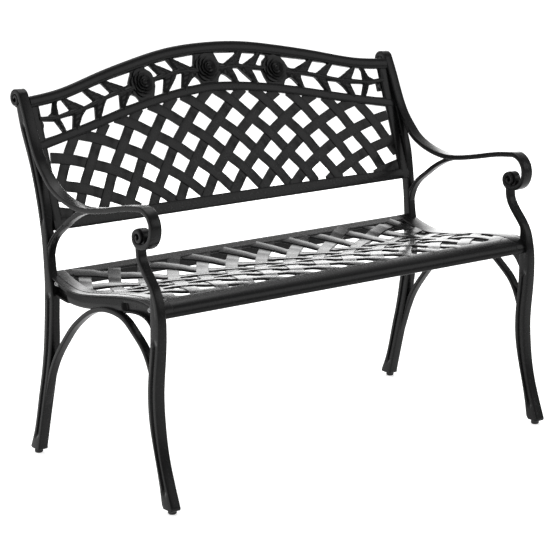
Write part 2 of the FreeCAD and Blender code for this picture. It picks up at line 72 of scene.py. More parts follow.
# Seat bolts, and the seat's top from rear to front, as (y, z) of the drawn side view.
SEAT_BOLTS: list[Pair] = [(139, 395), (-206, 407)]
SEAT_TOP: list[Pair] = [
    (168, 414), (132, 403), (101, 396), (71, 392.5), (40, 394), (10, 398), (-21, 403), (-72, 412), (-123, 419.5),
    (-163, 423.5), (-194, 424), (-215, 421)]


class Hand(Enum):
    """Side of the bench, seen from the front."""

    LEFT = -1
    RIGHT = 1

    @property
    def word(self) -> str:
        """Name used in node names."""
        return self.name.lower()


class Row(Enum):
    """Rear or front row of feet."""

    REAR = "rear"
    FRONT = "front"


def side_points(points: Sequence[Pair]) -> np.ndarray:
    """Turns points of the drawn side view into places on the bench.

    Args:
        points: (y, z) pairs of the drawing, in millimetres.

    Returns:
        (y, z) rows in metres.
    """
    return (np.asarray(points, float) - (DRAWN_MIDDLE, DRAWN_FLOOR)) * MM


class SmoothLine:
    """Smooth line through points."""

    def __init__(self, points: Sequence[Sequence[float]]) -> None:
        """Fits the line.

        Args:
            points: rows of coordinates that the line goes through.
        """
        self.points = np.asarray(points, float)
        steps = np.linalg.norm(np.diff(self.points, axis=0), axis=1)
        self.knots = np.concatenate([[0.0], np.cumsum(steps)])
        self.bends = self._solve_bends()

    def _solve_bends(self) -> np.ndarray:
        """Second derivatives at the points of a line whose ends run straight."""
        count = len(self.points)
        gaps = np.diff(self.knots)
        table = np.eye(count)
        right = np.zeros_like(self.points)
        slopes = np.diff(self.points, axis=0) / gaps[:, None]
        for i in range(1, count - 1):
            table[i, i - 1:i + 2] = gaps[i - 1], 2 * (gaps[i - 1] + gaps[i]), gaps[i]
            right[i] = 6 * (slopes[i] - slopes[i - 1])
        return np.linalg.solve(table, right)

    def at(self, places: np.ndarray) -> np.ndarray:
        """Points of the line at distances along it.

        Args:
            places: distances from the start, along the chords.

        Returns:
            One row of coordinates for each distance.
        """
        span = np.clip(np.searchsorted(self.knots, places, side="right") - 1, 0, len(self.knots) - 2)
        gap = (self.knots[span + 1] - self.knots[span])[:, None]
        far = (np.asarray(places) - self.knots[span])[:, None] / gap
        near = 1 - far
        straight = near * self.points[span] + far * self.points[span + 1]
        bent = (near**3 - near) * self.bends[span] + (far**3 - far) * self.bends[span + 1]
        return straight + bent * gap**2 / 6

    def walk(self, count: int) -> np.ndarray:
        """Evenly spaced points of the whole line."""
        return self.at(np.linspace(0, self.knots[-1], count))


def ease(value: np.ndarray) -> np.ndarray:
    """Smooth step from 0 to 1."""
    share = np.clip(value, 0, 1)
    return share * share * (3 - 2 * share)


def rounded_box(width: float, height: float, radius: float, steps: int = 4) -> np.ndarray:
    """Outline of a bar's section with rounded corners.

    Args:
        width: size along the first axis.
        height: size along the second axis.
        radius: corner radius.
        steps: flats in each corner.

    Returns:
        Rows of (first, second), anticlockwise.
    """
    outline = []
    for across, up, start in ((1, 1, 0), (-1, 1, 90), (-1, -1, 180), (1, -1, 270)):
        for step in range(steps + 1):
            angle = math.radians(start + 90 * step / steps)
            outline.append((across * (width / 2 - radius) + radius * math.cos(angle),
                            up * (height / 2 - radius) + radius * math.sin(angle)))
    return np.array(outline)


def crowned_band(height: float, depth: float, crown: float, steps: int = 10) -> np.ndarray:
    """Section of a cast rail: flat at the rear, crowned at the front.

    Args:
        height: size across the rail.
        depth: thickness behind the panel's face.
        crown: how far the middle stands before the panel's face.
        steps: flats over the crown.

    Returns:
        Rows of (across, forward).
    """
    half = height / 2
    edge = min(1.6 * MM, half / 3)
    outline = [(-half + edge, -depth), (-half, -depth + edge)]
    for step in range(steps + 1):
        angle = math.pi * (1 - step / steps)
        outline.append((half * math.cos(angle), crown * math.sin(angle) ** 0.8))
    outline += [(half, -depth + edge), (half - edge, -depth)]
    return np.array(outline)


def directions(path: np.ndarray) -> tuple[np.ndarray, np.ndarray]:
    """Unit directions along a flat path and to its left."""
    way = np.gradient(path, axis=0)
    way /= np.linalg.norm(way, axis=1)[:, None]
    return way, np.stack([-way[:, 1], way[:, 0]], axis=1)


def carried(path: np.ndarray, sections: np.ndarray) -> tuple[np.ndarray, np.ndarray]:
    """Carries a section along a flat path.

    Args:
        path: rows of two coordinates.
        sections: one outline of (beside the path, off its plane) rows, or one for each row of the path.

    Returns:
        Places in the path's plane, and distances off that plane, for each ring and point.
    """
    _, beside = directions(path)
    outlines = np.broadcast_to(sections, (len(path),) + sections.shape[-2:])
    return path[:, None, :] + beside[:, None, :] * outlines[..., :1], outlines[..., 1:]


def side_sweep(path: np.ndarray, sections: np.ndarray, middle: float) -> np.ndarray:
    """Carries a section along a path of the side view.

    Args:
        path: (y, z) rows.
        sections: one outline of (beside the path, along X) rows, or one for each row of the path.
        middle: X of the path.

    Returns:
        Rings of points, one for each row of the path.
    """
    places, off = carried(path, sections)
    return np.concatenate([middle + off, places], axis=-1)


def round_angles(segments: int) -> np.ndarray:
    """Directions of evenly spaced points round an axis."""
    return np.arange(segments) * 2 * math.pi / segments


def circles(levels: Sequence[tuple[float | np.ndarray, float]], segments: int,
            middle: Pair = (0.0, 0.0)) -> np.ndarray:
    """Rings of points round an upright axis.

    Args:
        levels: radius and height of each ring; the radius may differ from point to point.
        segments: points in a ring.
        middle: (x, y) of the axis.

    Returns:
        Array of rings, points and coordinates.
    """
    angles = round_angles(segments)
    return np.array([np.stack([middle[0] + radius * np.cos(angles), middle[1] + radius * np.sin(angles),
                               np.full(segments, height)], axis=1) for radius, height in levels])


def turned(profile: Sequence[Pair], segments: int) -> Shape:
    """Solid of revolution about Z.

    Args:
        profile: (radius, height) pairs from the lower middle to the upper middle.
        segments: flats round the axis.

    Returns:
        Points and faces.
    """
    return stitched(circles(profile, segments))


def stitched(rings: np.ndarray) -> Shape:
    """Joins rings of points by quads and closes both ends.

    Args:
        rings: array of rings, points and coordinates.

    Returns:
        Points and faces.
    """
    count, around, _ = rings.shape
    faces = []
    for ring in range(count - 1):
        low, high = ring * around, (ring + 1) * around
        for i in range(around):
            j = (i + 1) % around
            faces.append((low + i, low + j, high + j, high + i))
    faces.append(tuple(range(around))[::-1])
    faces.append(tuple(range((count - 1) * around, count * around)))
    return rings.reshape(-1, 3), faces


def signed_volume(points: np.ndarray, faces: Sequence[Sequence[int]]) -> float:
    """Volume of a closed shell, negative where its faces point inwards."""
    corners = np.array([(f[0], f[i], f[i + 1]) for f in faces for i in range(1, len(f) - 1)])
    first, second, third = (points[corners[:, k]] for k in range(3))
    return float(np.einsum("ij,ij->i", first, np.cross(second, third)).sum() / 6)


def linked(name: str, data: ID) -> Object:
    """Adds an object to the scene."""
    made = bpy.data.objects.new(name, data)
    bpy.context.scene.collection.objects.link(made)
    return made


def plain_mesh(name: str, points: Sequence[Sequence[float]], faces: Sequence[Sequence[int]]) -> Mesh:
    """Makes a mesh from points and faces."""
    mesh = bpy.data.meshes.new(name)
    mesh.from_pydata(np.asarray(points).tolist(), [], [tuple(face) for face in faces])
    return mesh


def read(items: bpy_prop_collection, name: str, width: int, kind: type = float) -> np.ndarray:
    """Reads one value of a mesh's points or edges, a row for each."""
    values = np.empty(len(items) * width, kind)
    items.foreach_get(name, values)
    return values.reshape(-1, width)


class Casting:
    """Closed shells gathered into the mesh of one piece."""

    def __init__(self) -> None:
        """Starts with no shell."""
        self.points: list[np.ndarray] = []
        self.faces: list[tuple[int, ...]] = []
        self.count = 0

    def add(self, points: np.ndarray, faces: Sequence[Sequence[int]]) -> None:
        """Adds a closed shell and turns its faces outwards."""
        inward = signed_volume(points, faces) < 0
        for face in faces:
            numbers = face[::-1] if inward else face
            self.faces.append(tuple(i + self.count for i in numbers))
        self.points.append(points)
        self.count += len(points)

    def loft(self, rings: np.ndarray) -> None:
        """Adds a bar through rings of points."""
        self.add(*stitched(rings))

    def mirrored(self) -> "Casting":
        """Copy on the other side of the bench."""
        copy = Casting()
        copy.add(np.concatenate(self.points) * (-1, 1, 1), self.faces)
        return copy

    def piece(self, name: str, material: Material) -> Object:
        """Makes the Blender object of the piece.

        Args:
            name: object name.
            material: its finish.

        Returns:
            Object at the origin, with its place in its mesh.
        """
        mesh = plain_mesh(name, np.concatenate(self.points), self.faces)
        mesh.polygons.foreach_set("use_smooth", np.ones(len(mesh.polygons), bool))
        mesh.set_sharp_from_angle(angle=SHARP_ANGLE)
        mesh.materials.append(material)
        self._mark_edges(mesh)
        mesh.validate()
        return linked(name, mesh)

    @staticmethod
    def _mark_edges(mesh: Mesh) -> None:
        """Writes how sharply each point of the surface stands out, for the coat's lighter edges: wear where the coat
        is worn thin, and painted highlight, in one.
        """
        places = read(mesh.vertices, "co", 3)
        normals = read(mesh.vertices, "normal", 3)
        ends = read(mesh.edges, "vertices", 2, int)
        total = np.zeros(len(places))
        for here, there in ((0, 1), (1, 0)):
            way = places[ends[:, here]] - places[ends[:, there]]
            bend = np.einsum("ij,ij->i", way, normals[ends[:, here]])
            np.add.at(total, ends[:, here], bend / np.maximum(np.einsum("ij,ij->i", way, way), 1e-9))
        attribute = mesh.attributes.new("edge", "FLOAT", "POINT")
        attribute.data.foreach_set("value", np.clip(total / FULL_EDGE, 0, 1).astype(np.float32))


class NodeGraph:
    """Node tree that is being wired."""

    def __init__(self, tree: NodeTree) -> None:
        """Takes an empty tree."""
        self.tree = tree

    def node(self, kind: str, inputs: dict | None = None, **settings: object) -> Node:
        """Adds a node.

        Args:
            kind: Blender's name of the node type.
            inputs: socket name or number to a value, or to a socket that is linked to it.
            settings: properties of the node.

        Returns:
            The new node.
        """
        made = self.tree.nodes.new(kind)
        for key, value in settings.items():
            setattr(made, key, value)
        for key, value in (inputs or {}).items():
            if isinstance(value, NodeSocket):
                self.tree.links.new(value, made.inputs[key])
            else:
                made.inputs[key].default_value = value
        return made

    def math(self, operation: str, *values: object) -> NodeSocket:
        """Adds a Math node and gives its result."""
        return self.node("ShaderNodeMath", dict(enumerate(values)), operation=operation).outputs[0]

    def socket(self, name: str, kind: str, output: bool = False, value: object = None) -> None:
        """Adds a named socket to the tree's own interface."""
        made = self.tree.interface.new_socket(name, in_out="OUTPUT" if output else "INPUT", socket_type=kind)
        if value is not None:
            made.default_value = value

    def noise(self, scale: object, detail: float, roughness: float = 0.5) -> NodeSocket:
        """Adds noise on object coordinates and gives its value."""
        place = self.node("ShaderNodeTexCoord").outputs["Object"]
        return self.node("ShaderNodeTexNoise", {"Vector": place, "Scale": scale, "Detail": detail,
                                                "Roughness": roughness}).outputs["Fac"]

    def ramp(self, value: object, low: float, high: float, **settings: object) -> NodeSocket:
        """Adds a ramp from 0 at a low value to 1 at a high one and gives its result."""
        return self.node("ShaderNodeMapRange", {"Value": value, "From Min": low, "From Max": high},
                         **settings).outputs["Result"]


def cleared(owner: Material | World) -> NodeGraph:
    """Empties the nodes of a material or a world."""
    owner.use_nodes = True
    owner.node_tree.nodes.clear()
    return NodeGraph(owner.node_tree)


def grown(tree: NodeTree, inputs: dict[str, object], base: Mesh | None = None) -> Shape:
    """Evaluates a geometry tree to a plain mesh.

    Args:
        tree: geometry node tree.
        inputs: named inputs of the tree.
        base: mesh that the tree starts from.

    Returns:
        Points and faces of the realised result.
    """
    start = base or bpy.data.meshes.new("start")
    carrier = linked("carrier", start)
    modifier = carrier.modifiers.new("grow", "NODES")
    modifier.node_group = tree
    names = {item.name: item.identifier for item in tree.interface.items_tree if item.in_out == "INPUT"}
    for name, value in inputs.items():
        modifier[names[name]] = value
    evaluated = carrier.evaluated_get(bpy.context.evaluated_depsgraph_get())
    mesh = bpy.data.meshes.new_from_object(evaluated)
    points = read(mesh.vertices, "co", 3)
    faces = [tuple(polygon.vertices) for polygon in mesh.polygons]
    bpy.data.objects.remove(carrier)
    bpy.data.meshes.remove(mesh)
    bpy.data.meshes.remove(start)
    return points, faces


def lattice_tree() -> NodeTree:
    """Geometry tree of a flat lattice: two mirrored families of concentric straps, woven over and under.

    Returns:
        The tree, with its sizes as named inputs.
    """
    graph = NodeGraph(bpy.data.node_groups.new("woven_lattice", "GeometryNodeTree"))
    graph.socket("Geometry", "NodeSocketGeometry")
    graph.socket("Field", "NodeSocketObject")
    for name in ("Centre Across", "Centre Along", "First Arc", "Pitch", "Strap Width", "Strap Thickness",
                 "Edge Radius", "Weave Depth", "Step"):
        graph.socket(name, "NodeSocketFloat", value=0.01)
    graph.socket("Arcs", "NodeSocketInt", value=17)
    graph.socket("Material", "NodeSocketMaterial")
    graph.socket("Geometry", "NodeSocketGeometry", output=True)
    given = graph.node("NodeGroupInput").outputs
    field_mesh = graph.node("GeometryNodeObjectInfo", {"Object": given["Field"]}).outputs["Geometry"]
    outline = graph.node("GeometryNodeCurvePrimitiveQuadrilateral",
                         {"Width": given["Strap Width"], "Height": given["Strap Thickness"]}).outputs["Curve"]
    section = graph.node("GeometryNodeFilletCurve", {"Curve": outline, "Radius": given["Edge Radius"], "Count": 3},
                         mode="POLY").outputs["Curve"]
    index = graph.node("GeometryNodeInputIndex").outputs[0]
    radius = graph.math("MULTIPLY_ADD", index, given["Pitch"], given["First Arc"])
    circle = graph.node("GeometryNodeCurvePrimitiveCircle", {"Resolution": 360, "Radius": 1.0}).outputs["Curve"]
    place = graph.node("GeometryNodeInputPosition").outputs[0]
    centres = {}
    for hand in Hand:
        shift = graph.math("MULTIPLY", given["Centre Across"], float(hand.value))
        centres[hand] = graph.node("ShaderNodeCombineXYZ", {"X": shift, "Y": given["Centre Along"]}).outputs[0]

    def arc_number(side: Hand) -> NodeSocket:
        """Which arc about one centre goes through a place, as a number that runs on between the arcs."""
        away = graph.node("ShaderNodeVectorMath", {0: place, 1: centres[side]}, operation="DISTANCE").outputs["Value"]
        return graph.math("DIVIDE", graph.math("SUBTRACT", away, given["First Arc"]), given["Pitch"])

    joined = graph.node("GeometryNodeJoinGeometry")
    for hand, other in ((Hand.LEFT, Hand.RIGHT), (Hand.RIGHT, Hand.LEFT)):
        points = graph.node("GeometryNodePoints", {"Count": given["Arcs"], "Position": centres[hand]}).outputs[0]
        rings = graph.node("GeometryNodeInstanceOnPoints",
                           {"Points": points, "Instance": circle, "Scale": radius}).outputs[0]
        rings = graph.node("GeometryNodeRealizeInstances", {0: rings}).outputs[0]
        rings = graph.node("GeometryNodeResampleCurve", {"Curve": rings, "Length": given["Step"]}, mode="LENGTH")
        wires = graph.node("GeometryNodeCurveToMesh", {"Curve": rings.outputs[0]}).outputs[0]
        above = graph.node("ShaderNodeVectorMath", {0: place, 1: (0, 0, 1)}, operation="ADD").outputs[0]
        hit = graph.node("GeometryNodeRaycast", {"Target Geometry": field_mesh, "Source Position": above,
                                                 "Ray Direction": (0, 0, -1), "Ray Length": 2.0}).outputs["Is Hit"]
        outside = graph.node("FunctionNodeBooleanMath", {0: hit}, operation="NOT").outputs[0]
        wires = graph.node("GeometryNodeDeleteGeometry", {"Geometry": wires, "Selection": outside}).outputs[0]
        own, far = arc_number(hand), arc_number(other)
        wave = graph.math("COSINE", graph.math("MULTIPLY", far, math.pi))
        turn = graph.math("COSINE", graph.math("MULTIPLY", graph.math("ROUND", own), math.pi))
        rise = graph.math("MULTIPLY", graph.math("MULTIPLY", wave, turn), WEAVE_STEEPNESS * hand.value)
        rise = graph.math("MAXIMUM", graph.math("MINIMUM", rise, 1.0), -1.0)
        depth = graph.math("MULTIPLY", rise, given["Weave Depth"])
        lift = graph.node("ShaderNodeCombineXYZ", {"Z": depth}).outputs[0]
        wires = graph.node("GeometryNodeSetPosition", {"Geometry": wires, "Offset": lift}).outputs[0]
        paths = graph.node("GeometryNodeMeshToCurve", {"Mesh": wires}).outputs[0]
        paths = graph.node("GeometryNodeSetCurveNormal", {"Curve": paths}, mode="Z_UP").outputs[0]
        straps = graph.node("GeometryNodeCurveToMesh",
                            {"Curve": paths, "Profile Curve": section, "Fill Caps": True}).outputs[0]
        graph.tree.links.new(straps, joined.inputs[0])
    whole = graph.node("GeometryNodeRealizeInstances", {0: joined.outputs[0]}).outputs[0]
    dressed = graph.node("GeometryNodeSetMaterial", {"Geometry": whole, "Material": given["Material"]}).outputs[0]
    graph.node("NodeGroupOutput", {"Geometry": dressed})
    return graph.tree


def copies_tree() -> NodeTree:
    """Geometry tree that puts a copy of a shape on each point, turned by the point's own turn.

    Returns:
        The tree, with the shape and its material as named inputs.
    """
    graph = NodeGraph(bpy.data.node_groups.new("placed_copies", "GeometryNodeTree"))
    graph.socket("Geometry", "NodeSocketGeometry")
    graph.socket("Shape", "NodeSocketObject")
    graph.socket("Material", "NodeSocketMaterial")
    graph.socket("Geometry", "NodeSocketGeometry", output=True)
    given = graph.node("NodeGroupInput").outputs
    shape = graph.node("GeometryNodeObjectInfo", {"Object": given["Shape"], "As Instance": True}).outputs["Geometry"]
    turns = graph.node("GeometryNodeInputNamedAttribute", {"Name": "turn"}, data_type="FLOAT_VECTOR")
    turn = graph.node("FunctionNodeEulerToRotation", {0: turns.outputs["Attribute"]}).outputs[0]
    copies = graph.node("GeometryNodeInstanceOnPoints",
                        {"Points": given["Geometry"], "Instance": shape, "Rotation": turn}).outputs[0]
    whole = graph.node("GeometryNodeRealizeInstances", {0: copies}).outputs[0]
    dressed = graph.node("GeometryNodeSetMaterial", {"Geometry": whole, "Material": given["Material"]}).outputs[0]
    graph.node("NodeGroupOutput", {"Geometry": dressed})
    return graph.tree


def helper_object(name: str, points: Sequence[Sequence[float]], faces: Sequence[Sequence[int]]) -> Object:
    """Object that only a geometry tree reads, deleted by forget()."""
    return linked(name, plain_mesh(name, points, faces))


def forget(helper: Object) -> None:
    """Deletes a helper object and its mesh."""
    mesh = helper.data
    bpy.data.objects.remove(helper)
    bpy.data.meshes.remove(mesh)


@dataclass(frozen=True)
class Trees:
    """Geometry trees that several pieces share."""

    lattice: NodeTree
    copies: NodeTree


@dataclass(frozen=True)
class Spot:
    """Place and turn of one copy."""

    place: Triple
    turn: Triple = (0.0, 0.0, 0.0)


def copies(tree: NodeTree, shape: Shape, spots: Sequence[Spot], material: Material) -> Shape:
    """Copies a shape to each spot.

    Args:
        tree: tree of copies_tree().
        shape: points and faces.
        spots: where the copies go.
        material: finish of the copies.

    Returns:
        Points and faces of all copies.
    """
    base = plain_mesh("spots", [spot.place for spot in spots], [])
    turns = base.attributes.new("turn", "FLOAT_VECTOR", "POINT")
    turns.data.foreach_set("vector", np.array([spot.turn for spot in spots], np.float32).ravel())
    helper = helper_object("copied_shape", *shape)
    made = grown(tree, {"Shape": helper, "Material": material}, base)
    forget(helper)
    return made


@dataclass(frozen=True)
class WovenLattice:
    """Sizes of one woven field, in metres."""

    across: float
    along: float
    first_arc: float
    pitch: float
    width: float
    thickness: float
    depth: float
    edge: float = 0.7 * MM
    arcs: int = 17
    step: float = 4.5 * MM

    def flat(self, tree: NodeTree, outline: Sequence[Pair], material: Material) -> Shape:
        """Straps in the plane of the field.

        Args:
            tree: tree of lattice_tree().
            outline: corners of the field.
            material: finish of the straps.

        Returns:
            Points and faces.
        """
        helper = helper_object("lattice_field", [(x, y, 0) for x, y in outline], [range(len(outline))])
        made = grown(tree, {
            "Field": helper, "Centre Across": self.across, "Centre Along": self.along, "First Arc": self.first_arc,
            "Pitch": self.pitch, "Strap Width": self.width, "Strap Thickness": self.thickness,
            "Edge Radius": self.edge, "Weave Depth": self.depth, "Step": self.step, "Arcs": self.arcs,
            "Material": material})
        forget(helper)
        return made


@dataclass
class Leg:
    """Leg of an end frame, with a groove in both of its faces."""

    back: list[Pair]
    front: list[Pair]
    toe: float
    grooves: list[tuple[float, float, float]]
    thickness: float = 20 * MM
    toe_half: float = 16.0
    toe_floor: float = 13.4
    stations: int = 150
    groove_depth: float = 3.5 * MM
    groove_fade: float = 14.0
    groove_tip: float = 0.35
    no_groove: float = 3 * MM
    groove_lip: float = 0.9 * MM
    groove_side: float = 1.8 * MM
    edge_round: float = 3.2 * MM
    bore_radius: float = 4.6 * MM
    bore_top: float = 24.3 * MM
    outer_swell: float = 0.0
    inner_swell: float = 0.0
    swell_fades: Pair = (240, 335)

    def section(self, width: float, thickness: float, groove: float, depth: float) -> np.ndarray:
        """Outline of the leg at one height.

        Args:
            width: from the front edge to the back edge.
            thickness: along X.
            groove: width of the groove.
            depth: depth of the groove.

        Returns:
            Rows of (backwards, along X).
        """
        half = thickness / 2
        round_off = min(self.edge_round, width / 4)
        corners = rounded_box(width, thickness, round_off).reshape(4, -1, 2)
        lip = min(groove / 2 + self.groove_lip, width / 2 - round_off)
        floor = max(lip - self.groove_side, 0.3 * MM)
        cut = np.array([(lip, half), (floor, half - depth), (-floor, half - depth), (-lip, half)])
        return np.concatenate([corners[0], cut, corners[1], corners[2], cut * (-1, -1), corners[3]])

    def rings(self, middle: float) -> np.ndarray:
        """Rings of the whole leg, from the end of its bore to the sole and on to its top.

        Args:
            middle: X of the frame's middle.

        Returns:
            Array of rings, points and coordinates.
        """
        lines = []
        for line, side in ((self.back, 1), (self.front, -1)):
            toe = [(self.toe + side * (self.toe_half - 1), self.toe_floor),
                   (self.toe + side * self.toe_half, self.toe_floor + 1)]
            lines.append(side_points(np.concatenate([toe, SmoothLine(line).walk(self.stations)])))
        rings = []
        for rear, fore in zip(*lines):
            height = (rear[1] + fore[1]) / 2 / MM + DRAWN_FLOOR
            groove, depth = self.no_groove, 0.0
            for low, high, width in self.grooves:
                fade = float(ease((height - low) / self.groove_fade) * ease((high - height) / self.groove_fade))
                if fade > 0:
                    groove = width * MM * (self.groove_tip + (1 - self.groove_tip) * fade)
                    depth = self.groove_depth * fade
            way = rear - fore
            width = float(np.linalg.norm(way))
            low, high = self.swell_fades
            swell = 1 - float(ease((height - low) / (high - low)))
            outer, inner = self.outer_swell * swell, self.inner_swell * swell
            outline = self.section(width, self.thickness + outer + inner, groove, depth)
            flat = (rear + fore) / 2 + outline[:, :1] * way / width
            rings.append(np.concatenate([middle + (outer - inner) / 2 + outline[:, 1:], flat], axis=1))
        return np.array(self.bore(rings[0], middle) + rings)

    def bore(self, sole: np.ndarray, middle: float) -> list[np.ndarray]:
        """Blind bore for the foot's stud.

        Args:
            sole: lowest ring of the leg.
            middle: X of the frame's middle.

        Returns:
            Rings from the bore's end down to the sole.
        """
        (y, floor), = side_points([(self.toe, self.toe_floor)])
        away = sole[:, :2] - (middle, y)
        circle = (middle, y) + away / np.linalg.norm(away, axis=1)[:, None] * self.bore_radius
        return [np.column_stack([circle, np.full(len(circle), height)]) for height in (self.bore_top, floor)]


@dataclass
class EndFrame:
    """One end of the bench: legs, arm with its two scrolls, brace, support, arch, seat plate and lugs."""

    middle: float = 497 * MM
    inner: float = 487 * MM
    arm_width: float = 26 * MM
    narrows: Pair = (602, 646)
    strap: float = 11.5 * MM
    # Thickness and width along X of the bars.
    support_size: Pair = (12.5 * MM, 20.4 * MM)
    brace_size: Pair = (9.5 * MM, 18 * MM)
    ridge_size: Pair = (2.6 * MM, 21.8 * MM)
    arch_size: Pair = (10 * MM, 18 * MM)
    nose_middle: Pair = (-187, 569)
    nose_radius: float = 37.5
    scroll_middle: Pair = (-179, 549)
    scroll_radius: float = 17.5
    scroll_core: float = 3.5
    scroll_turn: float = 500
    scroll_steps: int = 90
    scroll_thin: float = 0.42
    web_radius: float = 18.5 * MM
    web_half: float = 7.5 * MM
    roll_middle: Pair = (271, 768)
    # Plate's faces from top to foot, as shares of the way and millimetres from the inner face.
    plate_plain: tuple[Pair, ...] = (
        (0, 15), (0.02, 17), (0.10, 17), (0.125, 16), (0.16, 7.5), (0.35, 9.4), (0.60, 12), (0.85, 12), (0.97, 10.5),
        (1, 8))
    plate_hollow: tuple[Pair, ...] = (
        (0, 15), (0.02, 17), (0.10, 17), (0.125, 16), (0.16, 7.5), (0.30, 9.0), (0.42, 9.0), (0.46, 3.0), (0.84, 3.0),
        (0.88, 13), (0.97, 14), (1, 12))
    plate_breaks: tuple[float, ...] = (0.02, 0.10, 0.125, 0.16, 0.42, 0.46, 0.84, 0.88, 0.97)
    pocket_ends: Pair = (-104, 101)
    pocket_slope: float = 5
    plate_rear: float = 0.3 * MM
    lug_height: float = 22 * MM
    # X of a lug's rings and how far each is shrunk.
    lug_ends: tuple[Pair, ...] = ((459, 0.93), (460, 1.0), (492, 1.0))
    rear_leg: Leg = field(default_factory=lambda: Leg(
        back=[(248, 16), (242, 29), (234, 48), (212, 129), (197, 188), (185, 256), (178.5, 330), (176, 385),
              (178, 435), (184, 490), (192, 530), (201, 566), (213, 606), (226, 642), (239, 670), (255, 705),
              (269, 748)],
        front=[(213, 22), (187, 123), (171, 182), (155, 252), (147, 318), (145, 375), (152, 412), (157, 445),
               (161, 494), (166, 530), (174, 571), (188, 612), (203, 655), (220, 698), (236, 733), (252, 765)],
        toe=230, grooves=[(38, 372, 10), (515, 722, 7)], inner_swell=4 * MM))
    front_leg: Leg = field(default_factory=lambda: Leg(
        back=[(-252, 20), (-244, 60), (-225, 128), (-211, 187), (-209, 260), (-216, 335), (-216, 375), (-216, 405),
              (-216.5, 425), (-217, 440), (-215, 450)],
        front=[(-289, 18), (-274, 55), (-253, 116), (-241, 185), (-238, 240), (-245.5, 320), (-248, 365), (-246, 400),
               (-241.5, 420), (-236.5, 434), (-228.5, 449), (-222, 458.5)],
        toe=-272, grooves=[(40, 352, 10)], stations=90, outer_swell=3 * MM, swell_fades=(250, 420)))
    support: list[Pair] = field(default_factory=lambda: [
        (-173, 537), (-174, 522), (-177, 505), (-186, 490), (-203, 471), (-220, 452), (-231, 432), (-237, 405),
        (-238, 380)])
    arm: list[Pair] = field(default_factory=lambda: [
        (257, 778), (235, 733), (220, 699), (205, 669), (190, 646), (170, 624), (146, 602.5), (118, 588), (80, 576.5),
        (40, 571), (5, 572.5), (-40, 579.5), (-90, 590), (-140, 600.5), (-187, 606.5)])
    brace: list[Pair] = field(default_factory=lambda: [
        (-8, 575), (20, 567), (44, 558.5), (64, 548.5), (79, 539.7), (98, 526.5), (113, 516), (134, 500), (150, 481),
        (159, 460), (164, 438)])
    brace_ridge: list[Pair] = field(default_factory=lambda: [
        (98, 526.5), (113, 516), (134, 500), (149, 484), (158, 472)])
    arch: list[Pair] = field(default_factory=lambda: [
        (194, 118), (182, 150), (169.5, 183), (151, 222), (119, 266), (100, 288), (78, 311), (50, 334), (28, 349),
        (-8, 367), (-50, 377), (-86, 377.5), (-119, 370), (-151, 350), (-186, 322), (-203, 297), (-214, 272)])
    plate_foot: list[Pair] = field(default_factory=lambda: [
        (150, 368), (90, 361), (35, 362), (-40, 373), (-86, 378), (-120, 384), (-155, 388), (-182, 386), (-202, 377),
        (-216, 360)])

    @staticmethod
    def spiral(middle: Pair, turn: np.ndarray, radius: float | np.ndarray) -> np.ndarray:
        """Points round a middle, by their directions and radii."""
        return np.array(middle) + np.stack([np.cos(turn), np.sin(turn)], axis=1) * np.reshape(radius, (-1, 1))

    def arm_path(self) -> np.ndarray:
        """Middle line of the arm strap, from inside the upper roll to inside the front scroll."""
        start = np.array(self.arm[0]) - self.roll_middle
        outer, angle = math.hypot(*start), math.atan2(start[1], start[0])
        steps, core = self.scroll_steps, self.scroll_core
        turn = np.linspace(angle - math.radians(self.scroll_turn), angle, steps)[:-1]
        roll = self.spiral(self.roll_middle, turn, np.linspace(core, outer, steps)[:-1])
        strap = SmoothLine(self.arm).walk(120)
        nose = self.spiral(self.nose_middle, np.radians(np.linspace(90, 270, 46)[1:]), self.nose_radius)
        turn = np.radians(np.linspace(270, 270 + self.scroll_turn, steps)[1:])
        scroll = self.spiral(self.scroll_middle, turn, np.linspace(self.scroll_radius, core, steps)[1:])
        return np.concatenate([roll, strap, nose, scroll])

    def add_arm(self, casting: Casting) -> None:
        """Arm strap with both scrolls, and the webs inside them."""
        path = self.arm_path()
        rolled = self.scroll_steps - 1
        thin = np.ones(len(path))
        thin[:rolled] = np.linspace(self.scroll_thin, 1.0, rolled)
        thin[-rolled:] = np.linspace(1.0, self.scroll_thin, rolled)
        full = rounded_box(self.strap, self.arm_width, 2.8 * MM)
        sections = full[None] * np.stack([thin, np.ones(len(path))], axis=1)[:, None, :]
        beside_back = ease((path[:, 1] - self.narrows[0]) / (self.narrows[1] - self.narrows[0]))[:, None]
        spare = 1 - (self.middle - self.inner) / (self.arm_width / 2)
        sections[..., 1] *= np.where(sections[..., 1] < 0, 1 - spare * beside_back, 1)
        casting.loft(side_sweep(side_points(path), sections, self.middle))
        half, radius = self.web_half, self.web_radius
        for middle in (self.roll_middle, self.scroll_middle):
            self.add_disc(casting, middle, [(AXIS, -half), (radius, -half), (radius, half), (AXIS, half)])

    def add_disc(self, casting: Casting, middle: Pair, profile: Sequence[Pair]) -> None:
        """Turned shape whose axis runs along X, at a place of the side view."""
        points, faces = turned(profile, 40)
        (y, z), = side_points([middle])
        casting.add(points[:, [2, 0, 1]] + (self.middle, y, z), faces)

    def add_bar(self, casting: Casting, line: Sequence[Pair], size: Pair, count: int = 80) -> None:
        """Bar with rounded edges along a line of the side view."""
        path = side_points(SmoothLine(line).walk(count))
        section = rounded_box(*size, min(size[0] * CORNER_SHARE, 2.6 * MM), 5)
        casting.loft(side_sweep(path, section, self.middle))

    def plate_profile(self, share: np.ndarray, pocket: float) -> np.ndarray:
        """How far the plate's outer face stands from the inner face, from its top to its foot.

        Args:
            share: places from the top, 0, to the foot, 1.
            pocket: 0 on the plain plate, 1 inside a pocket.

        Returns:
            Distances in metres.
        """
        plain, hollow = (np.interp(share, *zip(*table)) for table in (self.plate_plain, self.plate_hollow))
        return (plain + (hollow - plain) * pocket) * MM

